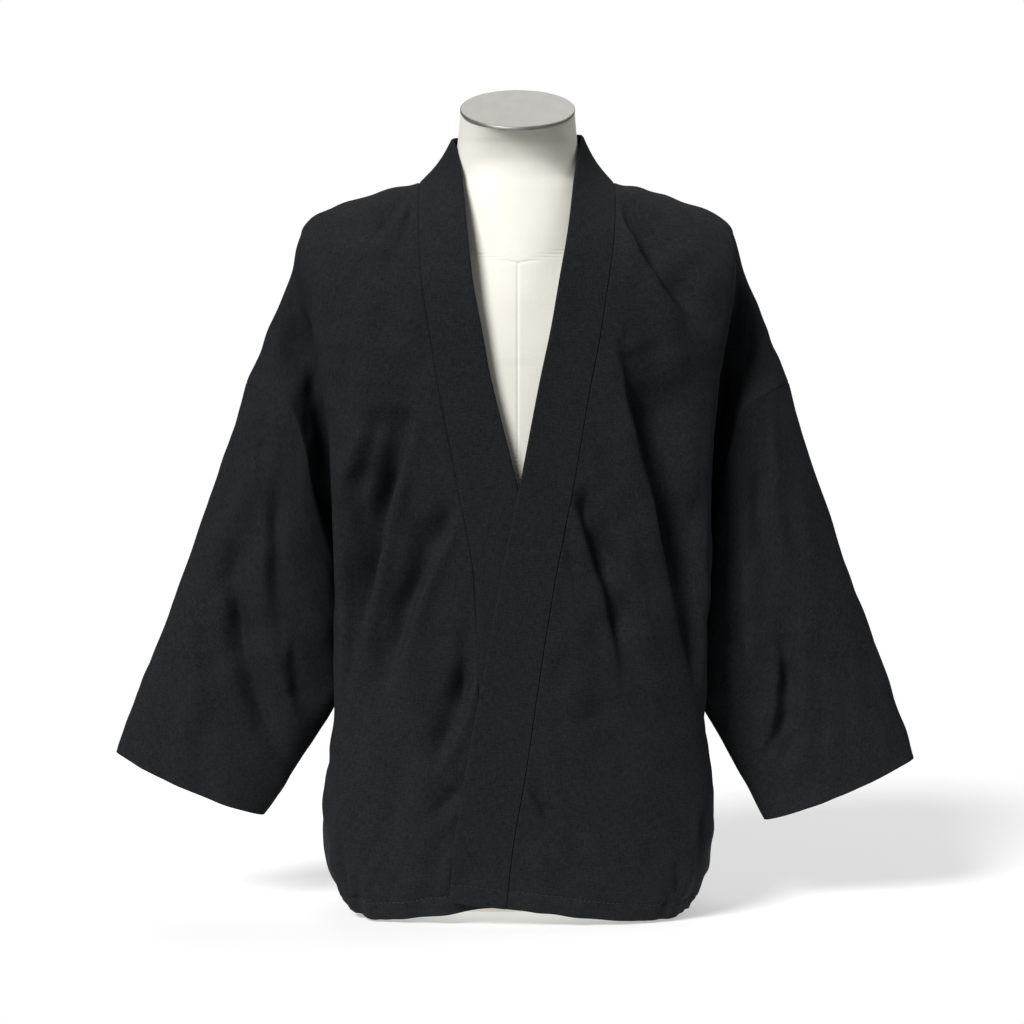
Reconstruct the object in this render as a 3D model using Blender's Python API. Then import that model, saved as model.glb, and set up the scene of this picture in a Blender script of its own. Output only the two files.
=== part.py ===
"""A kimono work jacket, hung on a limbless torso form. Metres, +Z up, front towards -Y."""

import bpy
import bmesh
import numpy as np

# Driving sizes, metres
CLOTH_WALL = 0.0016
BAND_WALL = 0.0026
SEAM_GAP = 0.0003
UNDERARM_TURN = 0.7
UNDERARM_ROOM = 0.0032
JACKET_LENGTH = 0.79
ARMHOLE_DROP = 0.25
BACK_NECK_DROP = 0.055
# Rows down the cloth: back neck, back of the armhole, chest, front of the armhole, and below
NECK_ROWS = 5
BACK_ROWS = 7
CHEST_DROP = 0.15
CHEST_ROWS = 8
ARMHOLE_ROWS = 5
LOW_ROWS = 16
PANEL_COLUMNS = 22
SLEEVE_ROWS = 18
BAND_COLUMNS = 3
FORM_AROUND = 36
PLATE_AROUND = 36
NECK_TILT = 0.36
# How far the floor of the crease beside the sleeve runs towards the armhole
DEEP_FLOOR = 0.3
NECK_HOLLOW = 0.0035
# The under band widens below the chest, and the band stands higher beside the neck
UNDER_BAND_WIDER = (1.05, 1.12)
BAND_HIGHER_OVER = 0.12
BAND_HIGHER_UNDER = 0.04
PLATE_CENTRE = (0.0, -0.016, 0.8355)
PLATE_HALF_WIDTH = 0.0595
PLATE_HALF_DEPTH = 0.0640
PLATE_THICK = 0.003

# Sections of a body panel. drop is the distance from the shoulder line down the cloth,
# front positive and back negative. mid_y is the depth on the centre plane, fold is the panel's
# outer turn, deep is the crease beside the sleeve, out is the armhole and side seam.
SECTION_COLUMNS = (
    "drop in_x in_z mid_y fold_x fold_y fold_z deep_x deep_y deep_z out_x out_y out_z"
).split()
SECTIONS = [
    (-0.7900, 0.0002, 0.0150, 0.1200, 0.1680, 0.0660, 0.0150, 0.1710, 0.0480, 0.0160, 0.1670, 0.0300, 0.0170),
    (-0.7200, 0.0002, 0.0750, 0.1340, 0.1920, 0.0820, 0.0610, 0.1980, 0.0550, 0.0530, 0.1960, 0.0300, 0.0450),
    (-0.6500, 0.0002, 0.1450, 0.1360, 0.1960, 0.0860, 0.1190, 0.2010, 0.0580, 0.1050, 0.1990, 0.0300, 0.0920),
    (-0.5500, 0.0002, 0.2450, 0.1240, 0.1860, 0.0860, 0.2110, 0.1880, 0.0560, 0.1910, 0.1840, 0.0300, 0.1730),
    (-0.4500, 0.0002, 0.3450, 0.1180, 0.1840, 0.0850, 0.3070, 0.1840, 0.0540, 0.2810, 0.1790, 0.0200, 0.2570),
    (-0.3500, 0.0002, 0.4450, 0.1200, 0.1900, 0.0840, 0.4050, 0.1840, 0.0460, 0.3670, 0.1800, 0.0110, 0.3300),
    (-0.2500, 0.0002, 0.5450, 0.1280, 0.2000, 0.0820, 0.5030, 0.1870, 0.0400, 0.4500, 0.1925, 0.0026, 0.4000),
    (-0.2000, 0.0002, 0.5950, 0.1300, 0.2060, 0.0800, 0.5510, 0.1970, 0.0380, 0.4980, 0.2060, 0.0300, 0.4450),
    (-0.1500, 0.0002, 0.6470, 0.1280, 0.2120, 0.0740, 0.5990, 0.2040, 0.0340, 0.5470, 0.2150, 0.0440, 0.4870),
    (-0.1000, 0.0002, 0.7030, 0.1120, 0.2180, 0.0640, 0.6450, 0.2140, 0.0280, 0.5910, 0.2260, 0.0480, 0.5230),
    (-0.0550, 0.0002, 0.7455, 0.0880, 0.2220, 0.0440, 0.6810, 0.2270, 0.0220, 0.6270, 0.2540, 0.0400, 0.5390),
    (-0.0350, 0.0450, 0.7510, 0.0800, 0.2230, 0.0320, 0.6930, 0.2330, 0.0180, 0.6380, 0.2670, 0.0300, 0.5450),
    (-0.0180, 0.0780, 0.7560, 0.0598, 0.2240, 0.0190, 0.7020, 0.2380, 0.0120, 0.6480, 0.2770, 0.0180, 0.5490),
    (-0.0080, 0.0940, 0.7595, 0.0380, 0.2240, 0.0110, 0.7050, 0.2400, 0.0080, 0.6520, 0.2810, 0.0110, 0.5505),
    (0.0000, 0.1000, 0.7600, 0.0100, 0.2240, 0.0040, 0.7070, 0.2415, 0.0040, 0.6550, 0.2840, 0.0050, 0.5510),
    (0.0200, 0.1005, 0.7510, -0.0200, 0.2235, -0.0140, 0.6990, 0.2380, -0.0040, 0.6470, 0.2770, -0.0120, 0.5490),
    (0.0450, 0.1000, 0.7330, -0.0500, 0.2230, -0.0340, 0.6830, 0.2310, -0.0060, 0.6310, 0.2620, -0.0300, 0.5420),
    (0.0900, 0.0975, 0.7010, -0.0920, 0.2215, -0.0600, 0.6470, 0.2145, -0.0060, 0.5960, 0.2330, -0.0440, 0.5250),
    (0.1500, 0.0900, 0.6500, -0.1180, 0.2120, -0.0740, 0.5950, 0.2005, -0.0080, 0.5500, 0.2200, -0.0440, 0.4870),
    (0.2000, 0.0825, 0.6010, -0.1270, 0.2045, -0.0780, 0.5480, 0.1930, -0.0060, 0.5000, 0.2110, -0.0340, 0.4450),
    (0.2500, 0.0730, 0.5520, -0.1320, 0.2005, -0.0780, 0.5000, 0.1850, -0.0060, 0.4520, 0.1925, 0.0014, 0.4000),
    (0.3500, 0.0560, 0.4530, -0.1380, 0.1985, -0.0760, 0.4030, 0.1840, -0.0120, 0.3670, 0.1800, 0.0104, 0.3300),
    (0.4500, 0.0370, 0.3540, -0.1410, 0.1960, -0.0740, 0.3060, 0.1840, -0.0200, 0.2810, 0.1790, 0.0196, 0.2570),
    (0.5500, 0.0215, 0.2550, -0.1430, 0.1930, -0.0740, 0.2090, 0.1900, -0.0220, 0.1910, 0.1840, 0.0296, 0.1730),
    (0.6500, 0.0070, 0.1560, -0.1480, 0.2025, -0.0740, 0.1130, 0.2040, -0.0240, 0.1030, 0.1990, 0.0296, 0.0920),
    (0.7200, -0.0050, 0.0850, -0.1420, 0.1950, -0.0700, 0.0550, 0.2010, -0.0220, 0.0490, 0.1960, 0.0296, 0.0450),
    (0.7900, -0.0120, 0.0190, -0.1220, 0.1760, -0.0620, 0.0090, 0.1750, -0.0160, 0.0130, 0.1670, 0.0296, 0.0170),
]
# What differs on the wearer's right, which lies under: the band seam, the fold, the layer's depth.
UNDER_COLUMNS = "drop in_x fold_x behind".split()
UNDER = [
    (-0.790, 0.0002, 0.166, 0.000),
    (-0.018, 0.0780, 0.225, 0.000),
    (0.000, 0.1020, 0.226, 0.000),
    (0.045, 0.1015, 0.225, 0.000),
    (0.090, 0.1000, 0.2170, 0.001),
    (0.150, 0.0960, 0.2060, 0.002),
    (0.200, 0.0880, 0.1990, 0.003),
    (0.250, 0.0800, 0.1930, 0.005),
    (0.350, 0.0610, 0.1890, 0.0075),
    (0.450, 0.0440, 0.1880, 0.0085),
    (0.550, 0.0400, 0.1890, 0.0085),
    (0.650, 0.0300, 0.2005, 0.0085),
    (0.720, 0.0250, 0.1940, 0.0085),
    (0.790, 0.0200, 0.1740, 0.0085),
]
# From the band's seam to its free edge, towards the neck or the centre.
BAND_COLUMNS_OF = "drop across_x across_y across_z".split()
BAND_OVER = [
    (-0.055, 0.0000, -0.026, 0.060),
    (-0.035, -0.0150, -0.022, 0.055),
    (-0.018, -0.0270, -0.018, 0.050),
    (-0.008, -0.0298, -0.015, 0.046),
    (0.000, -0.0322, -0.013, 0.043),
    (0.020, -0.0390, -0.016, 0.031),
    (0.045, -0.0435, -0.016, 0.020),
    (0.090, -0.0460, -0.008, 0.013),
    (0.150, -0.0480, -0.007, 0.010),
    (0.250, -0.0500, -0.005, 0.009),
    (0.350, -0.0520, -0.004, 0.009),
    (0.450, -0.0530, -0.003, 0.009),
    (0.550, -0.0555, -0.003, 0.009),
    (0.650, -0.0590, -0.002, 0.009),
    (0.720, -0.0585, -0.001, 0.008),
    (0.790, -0.0575, 0.000, 0.007),
]
# Sections of a sleeve under its armhole: the outer and the inner edge as seen from the front.
SLEEVE_COLUMNS = "along out_x out_z in_x in_z depth mid_y".split()
SLEEVE_LEFT = [
    (0.1000, 0.2960, 0.5060, 0.1960, 0.3570, 0.0420, 0.0000),
    (0.3000, 0.3220, 0.4250, 0.1900, 0.2870, 0.0420, -0.0020),
    (0.5200, 0.3530, 0.3370, 0.1900, 0.2270, 0.0400, -0.0030),
    (0.7200, 0.3810, 0.2630, 0.2110, 0.1850, 0.0370, -0.0030),
    (0.8700, 0.4010, 0.2070, 0.2370, 0.1370, 0.0330, -0.0030),
    (1.0000, 0.4170, 0.1570, 0.2620, 0.0920, 0.0280, -0.0020),
]
SLEEVE_RIGHT = [
    (0.1000, 0.2960, 0.5060, 0.1875, 0.3570, 0.0420, 0.0000),
    (0.3000, 0.3240, 0.4250, 0.1855, 0.2870, 0.0420, -0.0020),
    (0.5200, 0.3560, 0.3370, 0.1860, 0.2310, 0.0400, -0.0030),
    (0.7200, 0.3830, 0.2630, 0.2080, 0.1890, 0.0370, -0.0030),
    (0.8700, 0.4055, 0.2090, 0.2380, 0.1390, 0.0330, -0.0030),
    (1.0000, 0.4220, 0.1630, 0.2670, 0.0960, 0.0280, -0.0020),
]
# The form, ring by ring.
FORM_COLUMNS = "z half_x front_y back_y".split()
FORM = [
    (0.0000, 0.1240, -0.0440, 0.0980),
    (0.0020, 0.1290, -0.0500, 0.1030),
    (0.0090, 0.1400, -0.0740, 0.1070),
    (0.0180, 0.1480, -0.0900, 0.1080),
    (0.0360, 0.1550, -0.1050, 0.1090),
    (0.0950, 0.1600, -0.1120, 0.1100),
    (0.1950, 0.1540, -0.1080, 0.1020),
    (0.2950, 0.1500, -0.1060, 0.1000),
    (0.3950, 0.1560, -0.1100, 0.1040),
    (0.4950, 0.1680, -0.1140, 0.1100),
    (0.5750, 0.1820, -0.1120, 0.1120),
    (0.6350, 0.2000, -0.1010, 0.1060),
    (0.6700, 0.2125, -0.0880, 0.0940),
    (0.6880, 0.2190, -0.0740, 0.0800),
    (0.7000, 0.2212, -0.0600, 0.0660),
    (0.7085, 0.2195, -0.0500, 0.0560),
    (0.7178, 0.2108, -0.0415, 0.0500),
    (0.7283, 0.1912, -0.0350, 0.0460),
    (0.7378, 0.1652, -0.0288, 0.0430),
    (0.7455, 0.1392, -0.0245, 0.0410),
    (0.7515, 0.1120, -0.0240, 0.0420),
    (0.7565, 0.0890, -0.0350, 0.0440),
    (0.7680, 0.0735, -0.0500, 0.0450),
    (0.7830, 0.0655, -0.0590, 0.0450),
    (0.8050, 0.0618, -0.0680, 0.0440),
    (0.8330, 0.0590, -0.0790, 0.0470),
]
# The throat, between the neck and the chest: its front at the centre and its half width.
THROAT_COLUMNS = "z front_y half_x".split()
THROAT = [
    (0.5750, -0.1100, 0.100),
    (0.6350, -0.1055, 0.098),
    (0.6700, -0.0980, 0.096),
    (0.7000, -0.0880, 0.094),
    (0.7300, -0.0760, 0.088),
    (0.7515, -0.0680, 0.078),
    (0.7680, -0.0625, 0.066),
    (0.7830, -0.0605, 0.060),
    (0.8050, -0.0620, 0.054),
]
# Folds seen from the front: three points of the line (x, z), how wide, how high (troughs < 0).
FOLD_COLUMNS = "x0 z0 x1 z1 x2 z2 wide high".split()
FOLDS_LEFT = [
    (0.112, 0.733, 0.150, 0.660, 0.192, 0.607, 0.017, -0.005),
    (0.106, 0.580, 0.138, 0.475, 0.172, 0.300, 0.021, -0.011),
    (0.150, 0.520, 0.170, 0.400, 0.182, 0.240, 0.020, 0.005),
    (0.056, 0.450, 0.086, 0.360, 0.112, 0.250, 0.021, -0.008),
    (0.188, 0.150, 0.186, 0.090, 0.184, 0.040, 0.016, -0.005),
]
FOLDS_RIGHT = [
    (-0.100, 0.743, -0.126, 0.700, -0.142, 0.660, 0.016, -0.004),
    (-0.137, 0.540, -0.168, 0.440, -0.172, 0.340, 0.020, -0.008),
    (-0.064, 0.440, -0.104, 0.345, -0.140, 0.220, 0.021, -0.010),
    (-0.028, 0.330, -0.062, 0.220, -0.086, 0.150, 0.020, -0.008),
    (-0.186, 0.330, -0.184, 0.220, -0.184, 0.130, 0.018, -0.006),
]
FOLDS_SLEEVE_LEFT = [
    (0.276, 0.300, 0.282, 0.220, 0.266, 0.150, 0.022, -0.007),
    (0.244, 0.480, 0.250, 0.400, 0.262, 0.300, 0.020, 0.005),
]
FOLDS_SLEEVE_RIGHT = [
    (-0.286, 0.390, -0.282, 0.300, -0.246, 0.150, 0.022, -0.009),
    (-0.262, 0.530, -0.262, 0.480, -0.256, 0.430, 0.018, -0.005),
]
GATHER_REACH = 0.075
GATHER_HEIGHT = 0.0038
GATHER_PITCH = 0.034
HEM_SAG = 0.0105


def columns(names, rows):
    """A table's columns by name."""
    table = np.array(rows, float)
    return {name: table[:, k] for k, name in enumerate(names)}


def through(keys, values, at):
    """A smooth line through values at keys, without overshoot in the tangents."""
    keys = np.asarray(keys, float)
    values = np.asarray(values, float)
    at = np.clip(np.asarray(at, float), keys[0], keys[-1])
    run = np.diff(keys).reshape((-1,) + (1,) * (values.ndim - 1))
    rise = np.diff(values, axis=0) / run
    w = (run[1:] + 2 * run[:-1]) / (3 * (run[1:] + run[:-1]))
    same = rise[1:] * rise[:-1] > 0
    safe = np.where(same, (1 - w) * rise[1:] + w * rise[:-1], 1.0)
    inner = np.where(same, rise[1:] * rise[:-1] / safe, 0.0)
    slope = np.concatenate([rise[:1], inner, rise[-1:]])
    i = np.clip(np.searchsorted(keys, at, side="right") - 1, 0, len(keys) - 2)
    step = keys[i + 1] - keys[i]
    t = (at - keys[i]) / step
    shape = (-1,) + (1,) * (values.ndim - 1)
    t = t.reshape(shape)
    step = step.reshape(shape)
    a = values[i] * (2 * t**3 - 3 * t**2 + 1) + slope[i] * step * (t**3 - 2 * t**2 + t)
    return a + values[i + 1] * (3 * t**2 - 2 * t**3) + slope[i + 1] * step * (t**3 - t**2)


def even(points, count):
    """The same line with count points evenly along it."""
    steps = np.linalg.norm(np.diff(points, axis=0), axis=1)
    run = np.concatenate([[0.0], np.cumsum(steps)])
    at = np.linspace(0.0, run[-1], count)
    return np.stack([np.interp(at, run, points[:, k]) for k in range(3)], axis=1)


def spline(points, count):
    """A smooth line from the second point to the last, leaving along the first."""
    points = np.asarray(points, float)
    keys = np.concatenate([[0.0], np.cumsum(np.linalg.norm(np.diff(points, axis=0), axis=1))])
    return even(through(keys, points, np.linspace(keys[1], keys[-1], 200)), count)


ARC_POINTS = 48
OUT_POINTS = 33


def section(row):
    """One row of the panel from the band seam round the fold and out to the side."""
    start = np.arcsin(np.clip(row["in_x"] / row["fold_x"], -1.0, 1.0))
    angle = np.linspace(start, np.pi / 2, 80)
    share = (angle - start) / (np.pi / 2 - start)
    x = row["fold_x"] * np.sin(angle)
    y = row["fold_y"] + (row["mid_y"] - row["fold_y"]) * np.cos(angle) ** 0.9
    y = y + row["behind"] * (1 - share) ** 0.7
    z = row["in_z"] + (row["fold_z"] - row["in_z"]) * share**1.05
    z = z - row["sag"] * np.sin(np.pi * share) ** 1.3
    arc = np.stack([x, y, z], axis=1)
    fold = arc[-1]
    deep = np.array([row["deep_x"], row["deep_y"], row["deep_z"]])
    out = np.array([row["out_x"], row["out_y"], row["out_z"]])
    floor = deep + (out - deep) * DEEP_FLOOR * np.array([1.0, 0.15, 1.0])
    outer = spline([arc[-12], fold, deep, floor, out], OUT_POINTS)
    return np.concatenate([even(arc, ARC_POINTS), outer[1:]])


def body_net(side, rows):
    """Points of a body panel at the drops asked for; side +1 is the wearer's left."""
    base = columns(SECTION_COLUMNS, SECTIONS)
    base["behind"] = np.zeros(len(SECTIONS))
    base["sag"] = np.interp(np.abs(base["drop"]), [0.6, JACKET_LENGTH], [0.0, HEM_SAG])
    if side < 0:
        under = columns(UNDER_COLUMNS, UNDER)
        for name in ("fold_x", "behind"):
            base[name] = np.interp(base["drop"], under["drop"], under[name])
        front = base["drop"] >= 0
        base["in_x"][front] = np.interp(base["drop"][front], under["drop"], under["in_x"])
        base["deep_x"] = base["deep_x"] - 0.002
    net = []
    for k in range(len(SECTIONS)):
        net.append(section({name: base[name][k] for name in base}))
    net = through(base["drop"], np.array(net), rows)
    net[np.asarray(rows) <= 0, :, 0] = np.maximum(net[np.asarray(rows) <= 0, :, 0], SEAM_GAP / 2)
    return net * np.array([side, 1.0, 1.0])


def join_side(net, drops):
    """The same net with the front's and the back's side edges brought 0.3 mm apart."""
    middle = (net[:, -1] + net[::-1, -1]) / 2
    middle[:, 1] -= np.sign(drops) * SEAM_GAP / 2
    below = (np.abs(drops) >= ARMHOLE_DROP - 0.0005)[:, None, None]
    share = np.clip((np.linspace(0, 1, net.shape[1]) - 0.8) / 0.2, 0, 1)[None, :, None]
    return net + (middle - net[:, -1])[:, None] * below * share


def normals(net, around=False):
    """Unit normals of a net, as (down the rows) x (along the columns)."""
    down = np.gradient(net, axis=0)
    if around:
        along = (np.roll(net, -1, axis=1) - np.roll(net, 1, axis=1)) / 2
    else:
        along = np.gradient(net, axis=1)
    up = np.cross(down, along)
    return up / np.maximum(np.linalg.norm(up, axis=2, keepdims=True), 1e-12)


def fold_heights(net, folds):
    """How far each fold lifts or sinks each point that faces the front."""
    total = np.zeros(net.shape[:2])
    for x0, z0, x1, z1, x2, z2, wide, high in folds:
        t = np.linspace(0.0, 1.0, 25)[:, None]
        a = np.array([[x0, z0]])
        c = np.array([[x2, z2]])
        b = 2 * np.array([[x1, z1]]) - (a + c) / 2
        line = a * (1 - t) ** 2 + 2 * b * t * (1 - t) + c * t**2
        away = np.stack([net[..., 0, None] - line[:, 0], net[..., 2, None] - line[:, 1]])
        apart = np.sqrt((away**2).sum(0))
        near = apart.argmin(-1)
        reach = apart.min(-1)
        fade = np.sin(np.pi * np.clip((near + 2.0) / 28.0, 0, 1)) ** 0.5
        total += high * fade * np.exp(-((reach / wide) ** 2))
    return total


def sheet_mesh(net, up, wall, around=False):
    """A closed wall on a net: vertices and faces."""
    rows, cols = net.shape[:2]
    top = net + up * wall / 2
    low = net - up * wall / 2
    points = np.concatenate([top.reshape(-1, 3), low.reshape(-1, 3)])
    half = rows * cols
    faces = []
    last = cols if around else cols - 1
    for r in range(rows - 1):
        for c in range(last):
            d = (c + 1) % cols
            quad = [r * cols + c, (r + 1) * cols + c, (r + 1) * cols + d, r * cols + d]
            faces.append(quad)
            faces.append([half + q for q in reversed(quad)])
    for c in range(last):
        d = (c + 1) % cols
        faces.append([c, d, half + d, half + c])
        e = (rows - 1) * cols
        faces.append([e + d, e + c, half + e + c, half + e + d])
    if not around:
        for r in range(rows - 1):
            a, b = r * cols, (r + 1) * cols
            faces.append([b, a, half + a, half + b])
            a, b = a + cols - 1, b + cols - 1
            faces.append([a, b, half + b, half + a])
    return points, faces


def solid(name, points, faces, colour, rough, metal=0.0):
    """One closed object with its own material."""
    mesh = bpy.data.meshes.new(name)
    mesh.from_pydata([tuple(p) for p in points], [], faces)
    work = bmesh.new()
    work.from_mesh(mesh)
    bmesh.ops.triangulate(work, faces=work.faces)
    bmesh.ops.recalc_face_normals(work, faces=work.faces)
    if work.calc_volume(signed=True) < 0:
        bmesh.ops.reverse_faces(work, faces=work.faces)
    work.to_mesh(mesh)
    work.free()
    thing = bpy.data.objects.new(name, mesh)
    home.objects.link(thing)
    material = bpy.data.materials.new(name)
    material.use_nodes = True
    shader = material.node_tree.nodes["Principled BSDF"]
    shader.inputs["Base Color"].default_value = (*colour, 1.0)
    shader.inputs["Roughness"].default_value = rough
    shader.inputs["Metallic"].default_value = metal
    mesh.materials.append(material)
    return thing


def pick(net, rows, cols):
    """A coarser net read from a fine one at row and column places from 0 to 1."""
    r = np.asarray(rows) * (net.shape[0] - 1)
    c = np.asarray(cols) * (net.shape[1] - 1)
    i = np.clip(r.astype(int), 0, net.shape[0] - 2)
    j = np.clip(c.astype(int), 0, net.shape[1] - 2)
    fr = (r - i)[:, None, None]
    fc = (c - j)[None, :, None]
    a = net[i][:, j] * (1 - fc) + net[i][:, j + 1] * fc
    b = net[i + 1][:, j] * (1 - fc) + net[i + 1][:, j + 1] * fc
    return a * (1 - fr) + b * fr


def body_surface(side):
    """The fine net of a body panel with its folds and gathers, and its normals."""
    drops = np.linspace(-JACKET_LENGTH, JACKET_LENGTH, 633)
    net = join_side(body_net(side, drops), drops)
    up = normals(net) * side
    front = (net[..., 1] < -0.02) * np.clip((drops[:, None] - 0.03) / 0.04, 0, 1)
    high = fold_heights(net, FOLDS_LEFT if side > 0 else FOLDS_RIGHT) * front
    run = np.cumsum(np.linalg.norm(np.diff(net[-1], axis=0), axis=1))
    run = np.concatenate([[0.0], run])[None, :]
    low = np.clip(1 - (JACKET_LENGTH - np.abs(drops[:, None])) / GATHER_REACH, 0, 1) ** 0.8
    beside = np.clip((np.abs(net[..., 0]) - 0.10) / 0.05, 0, 1)
    high = high + GATHER_HEIGHT * low * beside * np.cos(2 * np.pi * run / GATHER_PITCH)
    edge = np.linspace(0, 1, net.shape[1])[None, :]
    high = high * np.clip(edge / 0.06, 0, 1) * np.clip((1 - edge) / 0.08, 0, 1)
    net = net + up * high[..., None]
    up = normals(net) * side
    shared = up[:, -1] + up[::-1, -1]
    below = np.abs(drops) >= ARMHOLE_DROP - 0.0005
    up[below, -1] = (shared / np.linalg.norm(shared, axis=1, keepdims=True))[below]
    return net, up


def row_drops():
    """The drops at which the cloth's rows lie, from the back hem to the front hem."""
    low = ARMHOLE_DROP + (JACKET_LENGTH - ARMHOLE_DROP) * (
        1 - (1 - np.linspace(0, 1, LOW_ROWS + 1)) ** 1.3
    )
    return np.concatenate([
        -low[::-1][:-1],
        np.linspace(-ARMHOLE_DROP, -BACK_NECK_DROP, BACK_ROWS + 1)[:-1],
        np.linspace(-BACK_NECK_DROP, 0.0, NECK_ROWS + 1)[:-1],
        np.linspace(0.0, CHEST_DROP, CHEST_ROWS + 1)[:-1],
        np.linspace(CHEST_DROP, ARMHOLE_DROP, ARMHOLE_ROWS + 1)[:-1],
        low,
    ])


def places(drops):
    """Drops as shares of the body net's length."""
    return (np.asarray(drops) + JACKET_LENGTH) / (2 * JACKET_LENGTH)


def body(side, name):
    """A body panel from the front hem over the shoulder to the back hem."""
    net, up = body_surface(side)
    cols = np.linspace(0, 1, PANEL_COLUMNS)
    coarse = pick(net, places(row_drops()), cols)
    lift = pick(up, places(row_drops()), cols)
    lift /= np.linalg.norm(lift, axis=2, keepdims=True)
    points, faces = sheet_mesh(coarse, lift, CLOTH_WALL)
    return solid(name, points, faces, CLOTH, 0.9)


def edge_of(side, drops, inner):
    """The panel's edge at some drops: its points, its normals and the way on past it."""
    net, up = body_surface(side)
    at = np.array([0.0, 0.02]) if inner else np.array([1.0, 0.98])
    points = pick(net, places(drops), at)
    lift = pick(up, places(drops), at[:1])[:, 0]
    lift /= np.linalg.norm(lift, axis=1, keepdims=True)
    along = np.gradient(points[:, 0], axis=0)
    on = np.cross(along, lift)
    on *= np.sign((on * (points[:, 0] - points[:, 1])).sum(1, keepdims=True))
    return points[:, 0], lift, on / np.linalg.norm(on, axis=1, keepdims=True)


def sleeve_rings(side):
    """The armhole's loop and the sleeve's sections under it, with the loop's normals."""
    table = columns(SLEEVE_COLUMNS, SLEEVE_LEFT if side > 0 else SLEEVE_RIGHT)
    drops = row_drops()
    front = drops[(drops >= -1e-9) & (drops <= ARMHOLE_DROP + 1e-9)]
    back = drops[(drops < -1e-9) & (drops > -ARMHOLE_DROP + 1e-9)]
    hole, lift, on = edge_of(side, np.concatenate([front, back]), False)
    turn = np.concatenate([front, 2 * ARMHOLE_DROP + back]) / ARMHOLE_DROP * np.pi
    near = np.clip(1 - np.abs(turn - np.pi) / UNDERARM_TURN, 0, 1)[:, None]
    aside = np.array([side * UNDERARM_ROOM, 0.0, 0.0])
    rings = [hole + on * SEAM_GAP * (1 - near) + aside * near]
    for k in range(len(table["along"])):
        outer = np.array([side * table["out_x"][k], 0.0, table["out_z"][k]])
        inner = np.array([side * table["in_x"][k], 0.0, table["in_z"][k]])
        bow = np.sign(np.sin(turn)) * np.abs(np.sin(turn)) ** 0.75
        ring = (outer + inner) / 2 + (outer - inner) / 2 * np.cos(turn)[:, None]
        ring[:, 1] = table["mid_y"][k] - table["depth"][k] * bow
        if k == len(table["along"]) - 1:
            ring[:, 2] -= 0.004 * np.sin(turn) ** 2
        rings.append(ring)
    return np.concatenate([[0.0], table["along"]]), np.array(rings), lift, near


def sleeve(side, name):
    """A straight sleeve from its armhole to its open cuff."""
    keys, rings, lift, near = sleeve_rings(side)
    net = through(keys, rings, np.linspace(0, 1, SLEEVE_ROWS))
    up = normals(net, around=True)
    middle = net.mean(axis=1, keepdims=True)
    up *= np.sign(((net - middle) * up).sum())
    high = fold_heights(net, FOLDS_SLEEVE_LEFT if side > 0 else FOLDS_SLEEVE_RIGHT)
    high = high * (up[..., 1] < -0.2)
    fade = np.clip(np.linspace(0, 1, SLEEVE_ROWS) / 0.12, 0, 1)[:, None]
    net = net + up * (high * fade)[..., None]
    folded = normals(net, around=True)
    folded *= np.sign((folded * up).sum())
    lift = lift * np.sign((lift * folded[0]).sum())
    first = lift * (1 - near) + folded[0] * near
    folded[0] = first / np.linalg.norm(first, axis=1, keepdims=True)
    points, faces = sheet_mesh(net, folded, CLOTH_WALL, around=True)
    return solid(name, points, faces, CLOTH, 0.9)


def band_net(side, drops, across):
    """The collar band of one side, from its seam to its free edge, and its normals."""
    seam, lift, on = edge_of(side, drops, True)
    table = columns(BAND_COLUMNS_OF, BAND_OVER)
    reach = np.stack([table[n] for n in BAND_COLUMNS_OF[1:]], axis=1)
    reach = through(table["drop"], reach, drops) * np.array([side, 1.0, 1.0])
    beside_neck = np.clip(1 - np.abs(np.asarray(drops) + 0.005) / 0.045, 0, 1)
    reach[:, 2] *= 1 + beside_neck * (BAND_HIGHER_OVER if side > 0 else BAND_HIGHER_UNDER)
    if side < 0:
        reach[:, 0] *= np.interp(drops, (0.25, 0.36), UNDER_BAND_WIDER)
    start = seam + on * np.where(np.asarray(drops) < 0.01, 2.5, 1.0)[:, None] * SEAM_GAP
    net = start[:, None] + reach[:, None] * np.asarray(across)[None, :, None]
    stand = np.clip(1 - np.abs(np.asarray(drops) - 0.005) / 0.05, 0, 1)[:, None, None]
    hollow = np.sin(np.pi * np.asarray(across))[None, :, None] * NECK_HOLLOW * stand
    out = normals(net)
    out *= np.sign((out[:, 0] * lift).sum(1))[:, None, None]
    net = net - out * hollow
    up = normals(net)
    up *= np.sign((up[:, 0] * lift).sum(1))[:, None, None]
    up[:, 0] = lift
    return net, up


def band(name):
    """The collar band in one piece: up one front, round the neck, down the other."""
    drops = row_drops()
    drops = drops[drops >= -BACK_NECK_DROP - 1e-9][::-1]
    across = np.linspace(0, 1, BAND_COLUMNS)
    over, over_up = band_net(1.0, drops, across)
    under, under_up = band_net(-1.0, drops, across)
    middle = (over[-1:] + under[-1:]) / 2
    middle_up = over_up[-1:] + under_up[-1:]
    net = np.concatenate([over[:-1], middle, under[-2::-1]])
    up = np.concatenate([over_up[:-1], middle_up, under_up[-2::-1]])
    up /= np.linalg.norm(up, axis=2, keepdims=True)
    points, faces = sheet_mesh(net, up, BAND_WALL)
    return solid(name, points, faces, CLOTH, 0.9)


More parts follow.
